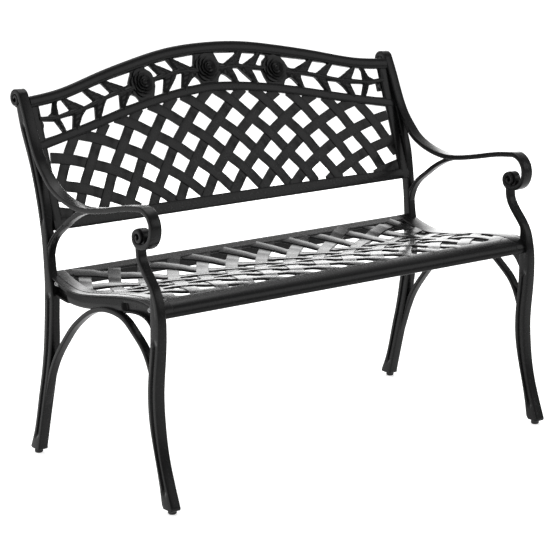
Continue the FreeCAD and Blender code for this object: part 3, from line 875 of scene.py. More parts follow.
    def add_plate(self, casting: Casting) -> None:
        """Plate beside the seat, with a lip along its top, a pocket at both ends and bosses under the bolts."""
        top, foot = (self.run_on(side_points(SmoothLine(line).walk(150))) for line in (SEAT_TOP, self.plate_foot))
        shares = np.unique(np.concatenate([np.linspace(0, 1, 20), self.plate_breaks]))
        front, rear = self.pocket_ends
        rings = []
        for upper, lower in zip(top, foot):
            y = (upper[0] + lower[0]) / 2 / MM + DRAWN_MIDDLE
            pocket = float(max(ease((front - y) / self.pocket_slope), ease((y - rear) / self.pocket_slope)))
            outer = self.inner + self.plate_profile(shares, pocket)
            places = upper + (lower - upper) * shares[:, None]
            face = np.concatenate([outer[:, None], places], axis=1)
            behind = self.inner + self.plate_rear
            rings.append(np.concatenate([face, [(behind, *lower), (behind, *upper)]]))
        casting.loft(np.array(rings))
        boss = [(AXIS, -10 * MM), (9 * MM, -10 * MM), (9 * MM, -1.0 * MM), (8.2 * MM, 0), (AXIS, 0)]
        for bolt in SEAT_BOLTS:
            self.add_disc(casting, bolt, boss)

    @staticmethod
    def run_on(line: np.ndarray, reach: float = 9 * MM) -> np.ndarray:
        """Line that goes on straight a little beyond its end."""
        way = line[-1] - line[-2]
        return np.concatenate([line, [line[-1] + way / np.linalg.norm(way) * reach]])

    def add_lugs(self, casting: Casting, back: "BackPanel") -> None:
        """Lugs on the inner face, behind the back panel."""
        outline = rounded_box(self.lug_height, back.lug_thickness, 2 * MM)
        middle = back.lug_face + back.lug_thickness / 2
        for _, height in back.bolts:
            casting.loft(np.array([[back.point(x * MM, height + u * shrink, middle + v * shrink) for u, v in outline]
                                   for x, shrink in self.lug_ends]))

    def build(self, back: "BackPanel") -> Casting:
        """Whole right end frame.

        Args:
            back: panel whose lugs the frame carries.

        Returns:
            The casting, not yet an object.
        """
        casting = Casting()
        casting.loft(self.rear_leg.rings(self.middle))
        casting.loft(self.front_leg.rings(self.middle))
        self.add_arm(casting)
        self.add_bar(casting, self.support, self.support_size)
        self.add_bar(casting, self.brace, self.brace_size)
        self.add_bar(casting, self.brace_ridge, self.ridge_size, 40)
        self.add_bar(casting, self.arch, self.arch_size, 110)
        self.add_plate(casting)
        self.add_lugs(casting, back)
        return casting


@dataclass
class SeatPanel:
    """Seat casting: woven field, rims, rolled apron, walls and bolt bosses."""

    half: float = 487 * MM
    wall: float = 6 * MM
    side_rim: float = 26 * MM
    rear_rim: float = 21 * MM
    front_rim: float = 37 * MM
    rear_wall: float = 34 * MM
    field_sink: float = 3.2 * MM
    profile: list[Pair] = field(default_factory=lambda: SEAT_TOP + [(-229, 414), (-236, 403), (-237, 394)])
    lattice: WovenLattice = WovenLattice(across=662 * MM, along=-545 * MM, first_arc=341 * MM, pitch=62.6 * MM,
                                         width=27 * MM, thickness=5.0 * MM, depth=0.9 * MM)

    def __post_init__(self) -> None:
        """Walks the profile once."""
        self.line = side_points(SmoothLine(self.profile).walk(400))
        self.rear = self.line[0, 0]
        self.front = self.line[:, 0].min()

    def height(self, y: np.ndarray) -> np.ndarray:
        """Height of the seat's top at places from front to rear."""
        order = np.argsort(self.line[:, 0])
        return np.interp(y, self.line[order, 0], self.line[order, 1])

    def add_field(self, casting: Casting, tree: NodeTree, material: Material) -> None:
        """Woven straps, laid on the curved seat."""
        spare = 8 * MM
        x = self.half - self.side_rim + spare
        low, high = self.front + self.front_rim - spare, self.rear - self.rear_rim + spare
        points, faces = self.lattice.flat(tree, [(-x, low), (x, low), (x, high), (-x, high)], material)
        points[:, 2] += self.height(points[:, 1]) - self.field_sink
        casting.add(points, faces)

    def band(self, first: float, last: float) -> np.ndarray:
        """Closed outline of a stretch of the shell, with rounded ends.

        Args:
            first: Y at which the stretch starts.
            last: Y at which it ends, further to the front.

        Returns:
            (y, z) rows.
        """
        keep = (self.line[:, 0] <= first) & (self.line[:, 0] >= last)
        top = self.line[keep][::4]
        way, under = directions(top)
        middle = top + under * self.wall / 2
        angles = np.radians(np.linspace(-70, 70, 7))[:, None]
        caps = []
        for end, sign in ((-1, 1), (0, -1)):
            out = way[end] * np.cos(angles) + under[end] * np.sin(angles)
            caps.append(middle[end] + out * sign * self.wall / 2)
        return np.concatenate([top, caps[0], (top + under * self.wall)[::-1], caps[1]])

    def across(self, outline: np.ndarray) -> np.ndarray:
        """Rings of a bar over the whole width, from its outline in the side view."""
        return np.array([np.column_stack([np.full(len(outline), x), outline]) for x in (-self.half, self.half)])

    def add_rims(self, casting: Casting) -> None:
        """Front apron, rear rail with its wall, and side rims with their walls."""
        for first, last in ((self.rear, self.rear - self.rear_rim), (self.front + self.front_rim, self.front)):
            casting.loft(self.across(self.band(first, last)))
        middle = (self.rear - self.wall / 2, self.line[0, 1] - 2 * MM - self.rear_wall / 2)
        casting.loft(self.across(rounded_box(self.wall, self.rear_wall, 1.4 * MM) + middle))
        path = self.line[self.line[:, 0] > self.front + 1 * MM][::5]
        rim = np.array([(0.7, 0.0), (0.7, -23.5), (0.2, -25.2), (-1.0, -26.0), (-4.2, -26.0), (-5.4, -25.5),
                        (-6.0, -24.5), (-6.0, -6.0), (-22.8, -6.0), (-23.7, -5.6), (-24.0, -4.6), (-24.0, -1.2),
                        (-23.6, -0.4), (-22.8, 0.0)]) * MM
        for hand in Hand:
            casting.loft(side_sweep(path, rim * (-1, hand.value), hand.value * self.half))

    def add_bosses(self, casting: Casting) -> None:
        """Bosses inside the side walls for the seat bolts."""
        profile = [(AXIS, 0), (8 * MM, 0), (8 * MM, 16.8 * MM), (6.8 * MM, 18 * MM), (3.2 * MM, 18 * MM),
                   (3.0 * MM, 14.5 * MM), (AXIS, 14.5 * MM)]
        points, faces = turned(profile, 32)
        for hand in Hand:
            for y, z in side_points(SEAT_BOLTS):
                placed = [hand.value * (self.half - points[:, 2]), y + points[:, 0], z + points[:, 1]]
                casting.add(np.stack(placed, axis=1), faces)

    def build(self, tree: NodeTree, material: Material) -> Casting:
        """Whole seat.

        Args:
            tree: tree of lattice_tree().
            material: finish of the casting.

        Returns:
            The casting, not yet an object.
        """
        casting = Casting()
        self.add_field(casting, tree, material)
        self.add_rims(casting)
        self.add_bosses(casting)
        return casting


@dataclass(frozen=True)
class PetalRing:
    """Ring of petals of a rose: reach as a share, count, first direction, heights in millimetres, half spread."""

    reach: float
    petals: int
    start: float
    base: float
    rise: float
    spread: float


@dataclass(frozen=True)
class Leaf:
    """Leaf of the vine on the right half: foot and tip as (x, height), and width, in millimetres."""

    foot: Pair
    tip: Pair
    width: float


@dataclass
class BackPanel:
    """Back casting: woven field under an arched rail, vine with leaves and three roses, rails and bolt pads."""

    half: float = 487 * MM
    foot_y: float = 142 * MM
    foot_z: float = 500 * MM
    lean: float = math.radians(19.5)
    lower_bow: float = 15 * MM
    upper_bow: float = 29 * MM
    bow_span: float = 290 * MM
    thickness: float = 7 * MM
    side_rail: float = 22 * MM
    bottom_rail: float = 22.5 * MM
    top_rail: float = 25 * MM
    top_crown: float = 6 * MM
    arch_width: float = 20 * MM
    arch_crown: float = 2.4 * MM
    rail_crown: float = 1.6 * MM
    side_ends: Pair = (0.5 * MM, 274 * MM)
    field_sink: float = 3.2 * MM
    lug_face: float = 11 * MM
    lug_thickness: float = 8 * MM
    pad_radius: float = 11 * MM
    # Lower and upper bolt of the right side, as (x, height).
    bolts: tuple[Pair, Pair] = ((470 * MM, 20 * MM), (470 * MM, 223 * MM))
    # Heights and half widths of the vine's relief, in millimetres.
    vine_ground: float = -0.6
    stem_half: float = 5.4
    stem_rise: float = 4.2
    leaf_rise: float = 2.0
    leaf_crown: float = 1.3
    rib_half: float = 1.5
    rib_rise: float = 1.4
    vein_rise: float = 0.5
    vein_count: float = 4.2
    top_edge: list[Pair] = field(default_factory=lambda: [
        (0, 360), (102, 355), (204, 338), (305, 316.5), (407, 293.5), (487, 286)])
    base_edge: list[Pair] = field(default_factory=lambda: [(0, -4), (200, -3.5), (400, -1.5), (487, 0)])
    arch_rail: list[Pair] = field(default_factory=lambda: [
        (0, 259), (45, 257), (140, 246), (240, 228), (337, 207), (440, 187), (487, 178)])
    stem: list[Pair] = field(default_factory=lambda: [
        (0, 299), (28, 299), (60, 300), (92, 299), (134, 292), (181, 285), (207, 277), (233, 271), (271, 266),
        (320, 253), (349, 246), (386, 240), (425, 234), (470, 236)])
    leaves: list[Leaf] = field(default_factory=lambda: [
        Leaf((45, 296), (98, 336), 27), Leaf((98, 292), (150, 328), 25), Leaf((232, 268), (287, 303), 29),
        Leaf((286, 256), (340, 291), 26), Leaf((349, 241), (404, 279), 29), Leaf((427, 236), (416, 276), 13),
        Leaf((44, 302), (74, 256), 27), Leaf((94, 300), (126, 251), 27), Leaf((222, 276), (248, 229), 25),
        Leaf((288, 264), (318, 214), 27), Leaf((347, 250), (382, 200), 27), Leaf((426, 236), (408, 195), 13)])
    openings: list[list[Pair]] = field(default_factory=lambda: [
        [(27, 334), (88, 330), (45, 308), (35, 312)],
        [(104, 328), (141, 323), (96, 302), (89, 306)],
        [(153, 321), (168, 317), (155, 307), (149, 294), (134, 299)],
        [(205, 311), (277, 298), (233, 281), (220, 285), (213, 298)],
        [(290, 294), (330, 286), (290, 266), (271, 272)],
        [(344, 284), (397, 274), (349, 250), (320, 259)],
        [(404, 273), (411, 273), (419, 261), (418, 240), (386, 246)],
        [(425, 269), (465, 264), (465, 241), (446, 240), (434, 247)],
        [(22, 267), (27, 278), (36, 286), (47, 281), (64, 266)],
        [(68, 296), (85, 294), (94, 283), (117, 259), (79, 263)],
        [(120, 288), (147, 284), (150, 270), (157, 253), (131, 258)],
        [(198, 246), (205, 257), (218, 262), (225, 258), (240, 239)],
        [(248, 266), (287, 257), (296, 245), (309, 223), (253, 236)],
        [(319, 246), (346, 241), (359, 229), (372, 209), (324, 219)],
        [(380, 234), (417, 230), (404, 202), (389, 204)],
        [(430, 226), (465, 230), (465, 194), (415, 201)]])
    # Mesh of the vine in millimetres: spacing, and shares of it between rows and beside edges.
    vine_step: float = 1.8
    vine_rows: float = 0.866
    vine_clear: float = 0.55
    # Vine's upper edge below the back's top edge, and its fall and width along the openings, in millimetres.
    band_drop: float = 14
    edge_fall: float = 0.8
    edge_width: float = 1.8
    roses: list[Pair] = field(default_factory=lambda: [(-181, 285), (0, 303), (181, 285)])
    rose_radius: float = 32 * MM
    rose_spins: Triple = (0.35, 0.0, 1.25)
    petal_rings: tuple[PetalRing, ...] = (
        PetalRing(1.0, 5, 0.3, 0.4, 3.6, 0.76), PetalRing(0.80, 5, 0.95, 2.8, 4.2, 0.76),
        PetalRing(0.60, 4, 0.2, 5.2, 4.6, 0.95), PetalRing(0.40, 3, 0.9, 7.2, 4.8, 1.2))
    lattice: WovenLattice = WovenLattice(across=566 * MM, along=-491.5 * MM, first_arc=536 * MM, pitch=57.9 * MM,
                                         width=23.2 * MM, thickness=5 * MM, depth=1.0 * MM)

    def bow(self, x: np.ndarray, height: np.ndarray) -> np.ndarray:
        """How far the panel bows to the rear."""
        most = self.lower_bow + (self.upper_bow - self.lower_bow) * np.asarray(height) / self.bow_span
        return most * (1 - (np.asarray(x) / self.half) ** 2)

    def point(self, x: float, height: float, rearward: float) -> Triple:
        """Point in the panel's own directions, with no bow."""
        up, over = math.cos(self.lean), math.sin(self.lean)
        return x, self.foot_y + height * over + rearward * up, self.foot_z + height * up - rearward * over

    def wrapped(self, flat: np.ndarray) -> np.ndarray:
        """Lays points of the flat drawing on the bowed, leaning panel.

        Args:
            flat: rows of (x, height, forward of the panel's face).

        Returns:
            Rows of places on the bench.
        """
        x, height, forward = flat[..., 0], flat[..., 1], flat[..., 2]
        bowed = self.bow(x, height)
        up, over = math.cos(self.lean), math.sin(self.lean)
        climb = height + bowed * math.tan(self.lean)
        rearward = bowed - forward
        return np.stack([x, self.foot_y + climb * over + rearward * up,
                         self.foot_z + climb * up - rearward * over], axis=-1)

    @staticmethod
    def mirrored_line(points: Sequence[Pair], count: int = 160) -> np.ndarray:
        """Smooth line over the whole width, from points of the right half."""
        left = [(-x, height) for x, height in reversed(points) if x > 0]
        return SmoothLine(left + list(points)).walk(count) * MM

    def sweep(self, path: np.ndarray, section: np.ndarray) -> np.ndarray:
        """Carries a section along a path of the flat drawing.

        Args:
            path: (x, height) rows.
            section: rows of (beside the path, forward), or one outline for each row of the path.

        Returns:
            Rings on the bowed panel.
        """
        places, off = carried(path, section)
        return self.wrapped(np.concatenate([places, off], axis=-1))

    def add_field(self, casting: Casting, tree: NodeTree, material: Material) -> None:
        """Woven straps between the rails."""
        spare = 7 * MM
        inside = self.half - self.side_rail + spare
        arch = self.mirrored_line(self.arch_rail, 80)
        arch = arch[np.abs(arch[:, 0]) < inside] - (0, 3 * MM)
        low = self.bottom_rail - spare
        outline = [(-inside, low), (inside, low)] + [tuple(row) for row in arch[::-1]]
        points, faces = self.lattice.flat(tree, outline, material)
        points[:, 2] -= self.field_sink
        casting.add(self.wrapped(points), faces)

    def add_rails(self, casting: Casting) -> None:
        """Top, arched, bottom and side rails."""
        top = self.mirrored_line(self.top_edge) - (0, self.top_rail / 2)
        casting.loft(self.sweep(top, crowned_band(self.top_rail, self.thickness, self.top_crown, 14)))
        arch = crowned_band(self.arch_width, self.thickness, self.arch_crown)
        casting.loft(self.sweep(self.mirrored_line(self.arch_rail), arch))
        base = self.mirrored_line(self.base_edge)
        middle = np.stack([base[:, 0], (base[:, 1] + self.bottom_rail) / 2], axis=1)
        heights = self.bottom_rail - base[:, 1]
        sections = np.array([crowned_band(height, self.thickness, self.rail_crown) for height in heights])
        casting.loft(self.sweep(middle, sections))
        for hand in Hand:
            x = hand.value * (self.half - self.side_rail / 2)
            path = np.stack([np.full(60, x), np.linspace(*self.side_ends, 60)], axis=1)
            casting.loft(self.sweep(path, crowned_band(self.side_rail, self.thickness, self.rail_crown)))

    def vine_loops(self) -> list[np.ndarray]:
        """Outline of the band between the two upper rails, then the outline of each opening, in millimetres."""
        inside = (self.half - self.side_rail / 2) / MM
        top = self.mirrored_line(self.top_edge, 200) / MM - (0, self.band_drop)
        arch = self.mirrored_line(self.arch_rail, 200) / MM
        band = [line[np.abs(line[:, 0]) < inside] for line in (arch, top)]
        loops = [np.concatenate([band[0], band[1][::-1]])]
        for corners in self.openings:
            for hand in Hand:
                outline = np.array(corners, float) * (hand.value, 1)
                loops.append(self.softened(outline if hand is Hand.RIGHT else outline[::-1]))
        return loops

    def softened(self, corners: np.ndarray, radius: float = 2.6) -> np.ndarray:
        """Outline through corners, with rounded corners and straight sides.

        Args:
            corners: corner points in order.
            radius: how much of each side goes into a corner.

        Returns:
            Closed row of points about as far apart as the vine's mesh.
        """
        made = []
        for before, corner, after in zip(np.roll(corners, 1, 0), corners, np.roll(corners, -1, 0)):
            cuts = []
            for side in (before - corner, after - corner):
                length = np.linalg.norm(side)
                cuts.append(side / length * min(radius, CORNER_SHARE * length))
            start, end, stop = corner + cuts[0], corner + cuts[1], after - cuts[1]
            for share in (0.0, 0.33, 0.67, 1.0):
                made.append((1 - share) ** 2 * start + 2 * share * (1 - share) * corner + share**2 * end)
            pieces = int(np.linalg.norm(stop - end) / self.vine_step)
            made += [end + (stop - end) * piece / pieces for piece in range(1, pieces)]
        return np.array(made)

    @staticmethod
    def within(points: np.ndarray, loop: np.ndarray) -> np.ndarray:
        """Whether each point lies inside a closed outline."""
        inside = np.zeros(len(points), bool)
        for (x0, y0), (x1, y1) in zip(loop, np.roll(loop, -1, 0)):
            if y0 != y1:
                crosses = (y0 > points[:, 1]) != (y1 > points[:, 1])
                inside ^= crosses & (points[:, 0] < (x1 - x0) * (points[:, 1] - y0) / (y1 - y0) + x0)
        return inside

    @staticmethod
    def edge_distance(points: np.ndarray, loops: Sequence[np.ndarray]) -> np.ndarray:
        """Distance from each point to the nearest outline."""
        nearest = np.full(len(points), 1e9)
        for loop in loops:
            for start, end in zip(loop, np.roll(loop, -1, 0)):
                way = end - start
                share = np.clip((points - start) @ way / max(way @ way, 1e-9), 0, 1)
                nearest = np.minimum(nearest, np.linalg.norm(points - start - share[:, None] * way, axis=1))
        return nearest

    def vine_relief(self, points: np.ndarray) -> np.ndarray:
        """Height of the vine's front over the panel's face.

        Args:
            points: (x, height) rows, in millimetres.

        Returns:
            Heights in millimetres: stem, leaves with midrib and veins, and the lower ground between them.
        """
        x, height = np.abs(points[:, 0]), points[:, 1]
        relief = np.full(len(points), self.vine_ground)
        for leaf in self.leaves:
            foot, tip = np.array(leaf.foot, float), np.array(leaf.tip, float)
            length = np.linalg.norm(tip - foot)
            way = (tip - foot) / length
            along = ((x - foot[0]) * way[0] + (height - foot[1]) * way[1]) / length
            aside = (x - foot[0]) * -way[1] + (height - foot[1]) * way[0]
            taper = np.clip(1 - along, 0, 1) ** 0.8 * (0.72 + 1.5 * np.clip(along, 0, 1))
            half = np.maximum(leaf.width * 0.5 * taper, 1e-3)
            off = np.abs(aside) / half
            rib = self.rib_rise * np.exp(-(aside / self.rib_half) ** 2)
            waves = np.sin(2 * math.pi * (self.vein_count * along - 0.07 * np.abs(aside)))
            veins = self.vein_rise * waves * np.clip(off * (1.2 - off), 0, 1) * 2
            fade = ease((1.5 - off) / 0.5) * ease((along + 0.05) / 0.2) * ease((1.1 - along) / 0.1)
            crown = self.leaf_rise + self.leaf_crown * np.clip(1 - off, 0, 1)
            blade = self.vine_ground + (crown + rib + veins) * fade
            relief = np.maximum(relief, blade)
        stem = self.mirrored_line(self.stem, 400) / MM
        row = np.interp(points[:, 0], stem[:, 0], stem[:, 1])
        round_off = np.clip(1 - ((height - row) / self.stem_half) ** 2, 0, 1)
        return np.maximum(relief, self.vine_ground + self.stem_rise * np.sqrt(round_off))

    def in_vine(self, points: np.ndarray, loops: Sequence[np.ndarray]) -> np.ndarray:
        """Whether each point lies in the band and in none of its openings."""
        inside = self.within(points, loops[0])
        for loop in loops[1:]:
            inside &= ~self.within(points, loop)
        return inside

    def add_vine(self, casting: Casting) -> None:
        """Pierced band of stem and leaves between the upper rails."""
        loops = self.vine_loops()
        step = self.vine_step
        low, high = loops[0].min(0), loops[0].max(0)
        rows = np.arange(low[1], high[1], step * self.vine_rows)
        across = np.arange(low[0], high[0], step)
        grid = np.concatenate([np.stack([across + (step / 2 if number % 2 else 0), np.full(len(across), row)], axis=1)
                               for number, row in enumerate(rows)])
        grid = grid[self.in_vine(grid, loops)]
        grid = grid[self.edge_distance(grid, loops) > step * self.vine_clear]
        points, edges = [], []
        for loop in loops:
            first = len(points)
            points += [Vector(place) for place in loop]
            edges += [(first + i, first + (i + 1) % len(loop)) for i in range(len(loop))]
        points += [Vector(place) for place in grid]
        found = geometry.delaunay_2d_cdt(points, edges, [], 0, 1e-4)
        flat = np.array([tuple(place) for place in found[0]])
        corners = np.array([tuple(face) for face in found[2]])
        corners = corners[self.in_vine(flat[corners].mean(1), loops)]
        near = 1 - ease(self.edge_distance(flat, loops[1:]) / self.edge_width)
        relief = self.vine_relief(flat) - self.edge_fall * near
        front = np.concatenate([flat, relief[:, None]], axis=1) * MM
        rear = np.concatenate([flat * MM, np.full((len(flat), 1), -self.thickness)], axis=1)
        count = len(flat)
        faces = [tuple(face) for face in corners] + [tuple(face[::-1] + count) for face in corners]
        sides: dict[tuple[int, int], None] = {}
        for a, b, c in corners.tolist():
            for start, end in ((a, b), (b, c), (c, a)):
                if (end, start) in sides:
                    del sides[end, start]
                else:
                    sides[start, end] = None
        faces += [(start, start + count, end + count, end) for start, end in sides]
        casting.add(self.wrapped(np.concatenate([front, rear])), faces)

    def petal_shape(self, ring: PetalRing) -> Shape:
        """Cupped petal with a rolled lip, growing from the rose's middle along X.

        Args:
            ring: ring that the petal belongs to.

        Returns:
            Points and faces.
        """
        across, out = np.linspace(-1, 1, 13), np.linspace(0.1, 1, 10)
        side, share = np.meshgrid(across, out, indexing="ij")
        reach = self.rose_radius * ring.reach * share * (1 - 0.17 * side**2 * share)
        angle = side * ring.spread * (0.4 + 0.6 * share)
        rise = ring.base + ring.rise * share**1.8 - 1.5 * np.abs(side) ** 2.5 * share + 0.7 * side * share
        curl = np.clip((share - 0.82) / 0.18, 0, 1) ** 2
        top = np.stack([reach * np.cos(angle), reach * np.sin(angle), (rise - 0.7 * curl) * MM], axis=-1)
        under = np.stack([reach * 0.985 * np.cos(angle), reach * 0.985 * np.sin(angle),
                          (rise - 2.4 - 0.9 * curl) * MM], axis=-1)
        loops = np.concatenate([top, under[:, ::-1]], axis=1)
        return stitched(loops)

    def add_roses(self, casting: Casting, tree: NodeTree, material: Material) -> None:
        """Three roses: rings of petals round a rolled bud, each on a round foot."""
        radius = self.rose_radius
        bud = [(0.86 * radius, -self.thickness), (0.86 * radius, 0.2 * MM), (0.5 * radius, 3.5 * MM),
               (0.2 * radius, 8 * MM), (0.17 * radius, 11.2 * MM), (0.13 * radius, 12.1 * MM),
               (0.10 * radius, 11.3 * MM), (0.06 * radius, 11.6 * MM), (0.001 * radius, 12.4 * MM)]
        foot = turned([(0.001 * radius, -self.thickness)] + bud, 48)
        places = [Spot((x * MM, height * MM, 0.0)) for x, height in self.roses]
        points, faces = copies(tree, foot, places, material)
        casting.add(self.wrapped(points), faces)
        for ring in self.petal_rings:
            spots = []
            for (x, height), spin in zip(self.roses, self.rose_spins):
                for number in range(ring.petals):
                    turn = ring.start + spin + number * 2 * math.pi / ring.petals
                    spots.append(Spot((x * MM, height * MM, 0.0), (0.0, 0.0, turn)))
            points, faces = copies(tree, self.petal_shape(ring), spots, material)
            casting.add(self.wrapped(points), faces)

    def add_bolt_pads(self, casting: Casting) -> None:
        """Round pads behind the panel that bear on the lugs."""
        radius, ease_off = self.pad_radius, 0.6 * MM
        for x, height in self.bolts:
            for hand in Hand:
                place = hand.value * x
                seat = float(self.lug_face - self.bow(place, height))
                profile = [(AXIS, -4 * MM), (radius, -4 * MM), (radius, -seat + ease_off), (radius - ease_off, -seat),
                           (AXIS, -seat)]
                points, faces = turned(profile, 36)
                casting.add(self.wrapped(points + (place, height, 0)), faces)

    def build(self, trees: Trees, material: Material) -> Casting:
        """Whole back.

        Args:
            trees: geometry trees.
            material: finish of the casting.

        Returns:
            The casting, not yet an object.
        """
        casting = Casting()
        self.add_field(casting, trees.lattice, material)
        self.add_rails(casting)
        self.add_vine(casting)
        self.add_roses(casting, trees.copies, material)
        self.add_bolt_pads(casting)
        return casting


@dataclass
class Fixings:
    """Button-head bolts and flat washers."""

    head_radius: float = 5.25 * MM
    head_height: float = 3.3 * MM
    head_rim: float = 0.3 * MM
    dome_radius: float = 3.0 * MM
    socket: float = 2.0 * MM
    socket_depth: float = 2.0 * MM
    shank_radius: float = 3.0 * MM
    pitch: float = 1.0 * MM
    thread_depth: float = 0.45 * MM
    seat_length: float = 26 * MM
    back_length: float = 16 * MM
    washer_radius: float = 6.0 * MM
    washer_height: float = 1.5 * MM
    boss_face: float = 497 * MM
    socket_turn: float = 0.4
    segments: int = 36

    def bolt_shape(self, length: float) -> Shape:
        """Bolt with its head above the origin, a domed head with a hexagon socket and a threaded shank.

        Args:
            length: shank length.

        Returns:
            Points and faces.
        """
        shank, head, rim, top = self.shank_radius, self.head_radius, self.head_rim, self.head_height
        levels = [(AXIS, -length), (shank - 0.6 * MM, -length), (shank, -length + 0.7 * MM)]
        for turn in range(int((length - 4 * MM) / self.pitch)):
            start = -length + 0.9 * MM + turn * self.pitch
            levels += [(shank, start), (shank - self.thread_depth, start + self.pitch / 2)]
        levels += [(shank, -2.4 * MM), (shank, 0.0), (head - 0.2 * MM, 0.0), (head, rim)]
        for share in (0.25, 0.5, 0.72, 0.9):
            angle = share * math.pi / 2
            radius = self.dome_radius + (head - self.dome_radius) * math.cos(angle)
            levels.append((radius, rim + (top - rim) * math.sin(angle)))
        flat = math.pi / 6
        hexagon = self.socket / np.cos((round_angles(self.segments) + flat) % (2 * flat) - flat)
        floor = top - self.socket_depth
        levels += [(2.9 * MM, top), (hexagon + 0.15 * MM, top), (hexagon, top - 0.2 * MM), (hexagon, floor),
                   (AXIS, floor - 0.3 * MM)]
        return stitched(circles(levels, self.segments))

    def washer_shape(self) -> Shape:
        """Flat washer on the origin, with eased edges and a hole.

        Returns:
            Points and faces.
        """
        outer, height, hole = self.washer_radius, self.washer_height, self.shank_radius + 0.3 * MM
        loop = [(hole, 0.2 * MM), (hole + 0.2 * MM, 0), (outer - 0.4 * MM, 0), (outer, 0.4 * MM),
                (outer, height - 0.4 * MM), (outer - 0.4 * MM, height), (hole + 0.2 * MM, height),
                (hole, height - 0.2 * MM)]
        around = len(loop)
        faces = []
        for ring in range(self.segments):
            low, high = ring * around, (ring + 1) % self.segments * around
            for i in range(around):
                j = (i + 1) % around
                faces.append((low + i, high + i, high + j, low + j))
        return circles(loop, self.segments).transpose(1, 0, 2).reshape(-1, 3), faces

    def spots(self, back: BackPanel, lift: float) -> dict[str, list[Spot]]:
        """Places of the seat's and the back's fixings.

        Args:
            back: panel that the back bolts hold.
            lift: distance from the casting's face, outwards.

        Returns:
            Spots for "seat" and "back".
        """
        made: dict[str, list[Spot]] = {"seat": [], "back": []}
        behind = back.lug_face + back.lug_thickness + lift
        for hand in Hand:
            for y, z in side_points(SEAT_BOLTS):
                place = (hand.value * (self.boss_face + lift), y, z)
                made["seat"].append(Spot(place, (self.socket_turn, hand.value * math.pi / 2, 0)))
            for x, height in back.bolts:
                place = back.point(hand.value * x, height, behind)
                made["back"].append(Spot(place, (-(math.pi / 2 + back.lean), 0, 0)))
        return made


@dataclass
class FootSet:
    """Round foot pads and their threaded studs."""

    pad_radius: float = 9.0 * MM
    sole_radius: float = 7.5 * MM
    pad_segments: int = 96
    ribs: int = 24
    rib_depth: float = 0.45
    stud_radius: float = 4.0 * MM
    stud_segments: int = 28
    thread_depth: float = 0.65 * MM
    pitch: float = 1.25 * MM

    def pad(self, x: float, y: float) -> Casting:
        """Ribbed pad at a place on the floor."""
        edge, sole = self.pad_radius / MM, self.sole_radius / MM
        dips = self.rib_depth * (0.5 - 0.5 * np.cos(round_angles(self.pad_segments) * self.ribs))
        levels = [(0.001, 0.5, 0), (4.5, 0.5, 0), (5.0, 0.0, 0), (sole - 0.5, 0.0, 0), (sole, 0.4, 0),
                  (edge - 0.1, 2.0, 0), (edge, 2.5, 1), (edge, 7.6, 1), (edge - 0.3, 8.4, 0), (edge - 1.0, 9.0, 0),
                  (5.2, 9.0, 0), (4.4, 8.3, 0), (4.2, 4.2, 0), (0.001, 4.0, 0)]
        rings = [((radius - dips * ribbed) * MM, height * MM) for radius, height, ribbed in levels]
        casting = Casting()
        casting.loft(circles(rings, self.pad_segments, (x, y)))
        return casting

    def stud(self, x: float, y: float, low: float, high: float) -> Casting:
        """Threaded stud between two heights."""
        turns = round_angles(self.stud_segments) / (2 * math.pi)
        tip, end, fine = self.stud_radius - 0.8 * MM, 0.6 * MM, self.pitch / 6
        levels = [(AXIS, low), (tip, low)]
        for height in np.arange(low + end, high - end, fine):
            phase = (height / self.pitch - turns) % 1.0
            levels.append((self.stud_radius - self.thread_depth * np.abs(2 * phase - 1), height))
        casting = Casting()
        casting.loft(circles(levels + [(tip, high), (AXIS, high)], self.stud_segments, (x, y)))
        return casting


class Effects:
    """Shader node groups that the finishes share."""

    def __init__(self) -> None:
        """Builds each group once."""
        self.grain = self._grain()
        self.rubbing = self._rubbing()
        self.dust = self._dust()

    @staticmethod
    def _start(name: str, inputs: dict[str, float], *outputs: str) -> NodeGraph:
        """Starts a group with its number sockets."""
        graph = NodeGraph(bpy.data.node_groups.new(name, "ShaderNodeTree"))
        for socket, value in inputs.items():
            graph.socket(socket, "NodeSocketFloat", value=value)
        for socket in outputs:
            graph.socket(socket, "NodeSocketFloat", output=True)
        return graph

    def _grain(self) -> NodeTree:
        """Fine grain over a slow ripple: a height and a mottled value."""
        sizes = {"Grain": 900.0, "Ripple": 60.0, "Ripple Share": 0.4}
        graph = self._start("surface_grain", sizes, "Height", "Mottle")
        given = graph.node("NodeGroupInput").outputs
        fine = graph.noise(given["Grain"], 3.0, 0.6)
        slow = graph.noise(given["Ripple"], 2.0)
        height = graph.math("MULTIPLY_ADD", slow, given["Ripple Share"], fine)
        mottle = graph.math("MULTIPLY_ADD", slow, 0.7, graph.math("MULTIPLY", fine, 0.3))
        graph.node("NodeGroupOutput", {"Height": height, "Mottle": mottle})
        return graph.tree

    def _rubbing(self) -> NodeTree:
        """Lighter colour along edges that stand out, broken up by noise: partly wear of the coat, partly painted
        highlight.
        """
        graph = self._start("edge_rubbing", {"Amount": 0.5, "Patches": 45.0}, "Mask")
        given = graph.node("NodeGroupInput").outputs
        edge = graph.node("ShaderNodeAttribute", attribute_name="edge").outputs["Fac"]
        broken = graph.ramp(graph.noise(given["Patches"], 4.0), 0.38, 0.68)
        mask = graph.math("MULTIPLY", graph.math("MULTIPLY", edge, broken), given["Amount"])
        graph.node("NodeGroupOutput", {"Mask": mask})
        return graph.tree

    def _dust(self) -> NodeTree:
        """Thin dust on faces that look up."""
        graph = self._start("settled_dust", {"Amount": 0.1}, "Mask")
        given = graph.node("NodeGroupInput").outputs
        normal = graph.node("ShaderNodeNewGeometry").outputs["Normal"]
        level = graph.ramp(graph.node("ShaderNodeSeparateXYZ", {0: normal}).outputs["Z"], 0.55, 0.98)
        mask = graph.math("MULTIPLY", graph.math("MULTIPLY", level, graph.noise(18.0, 5.0)), given["Amount"])
        graph.node("NodeGroupOutput", {"Mask": mask})
        return graph.tree


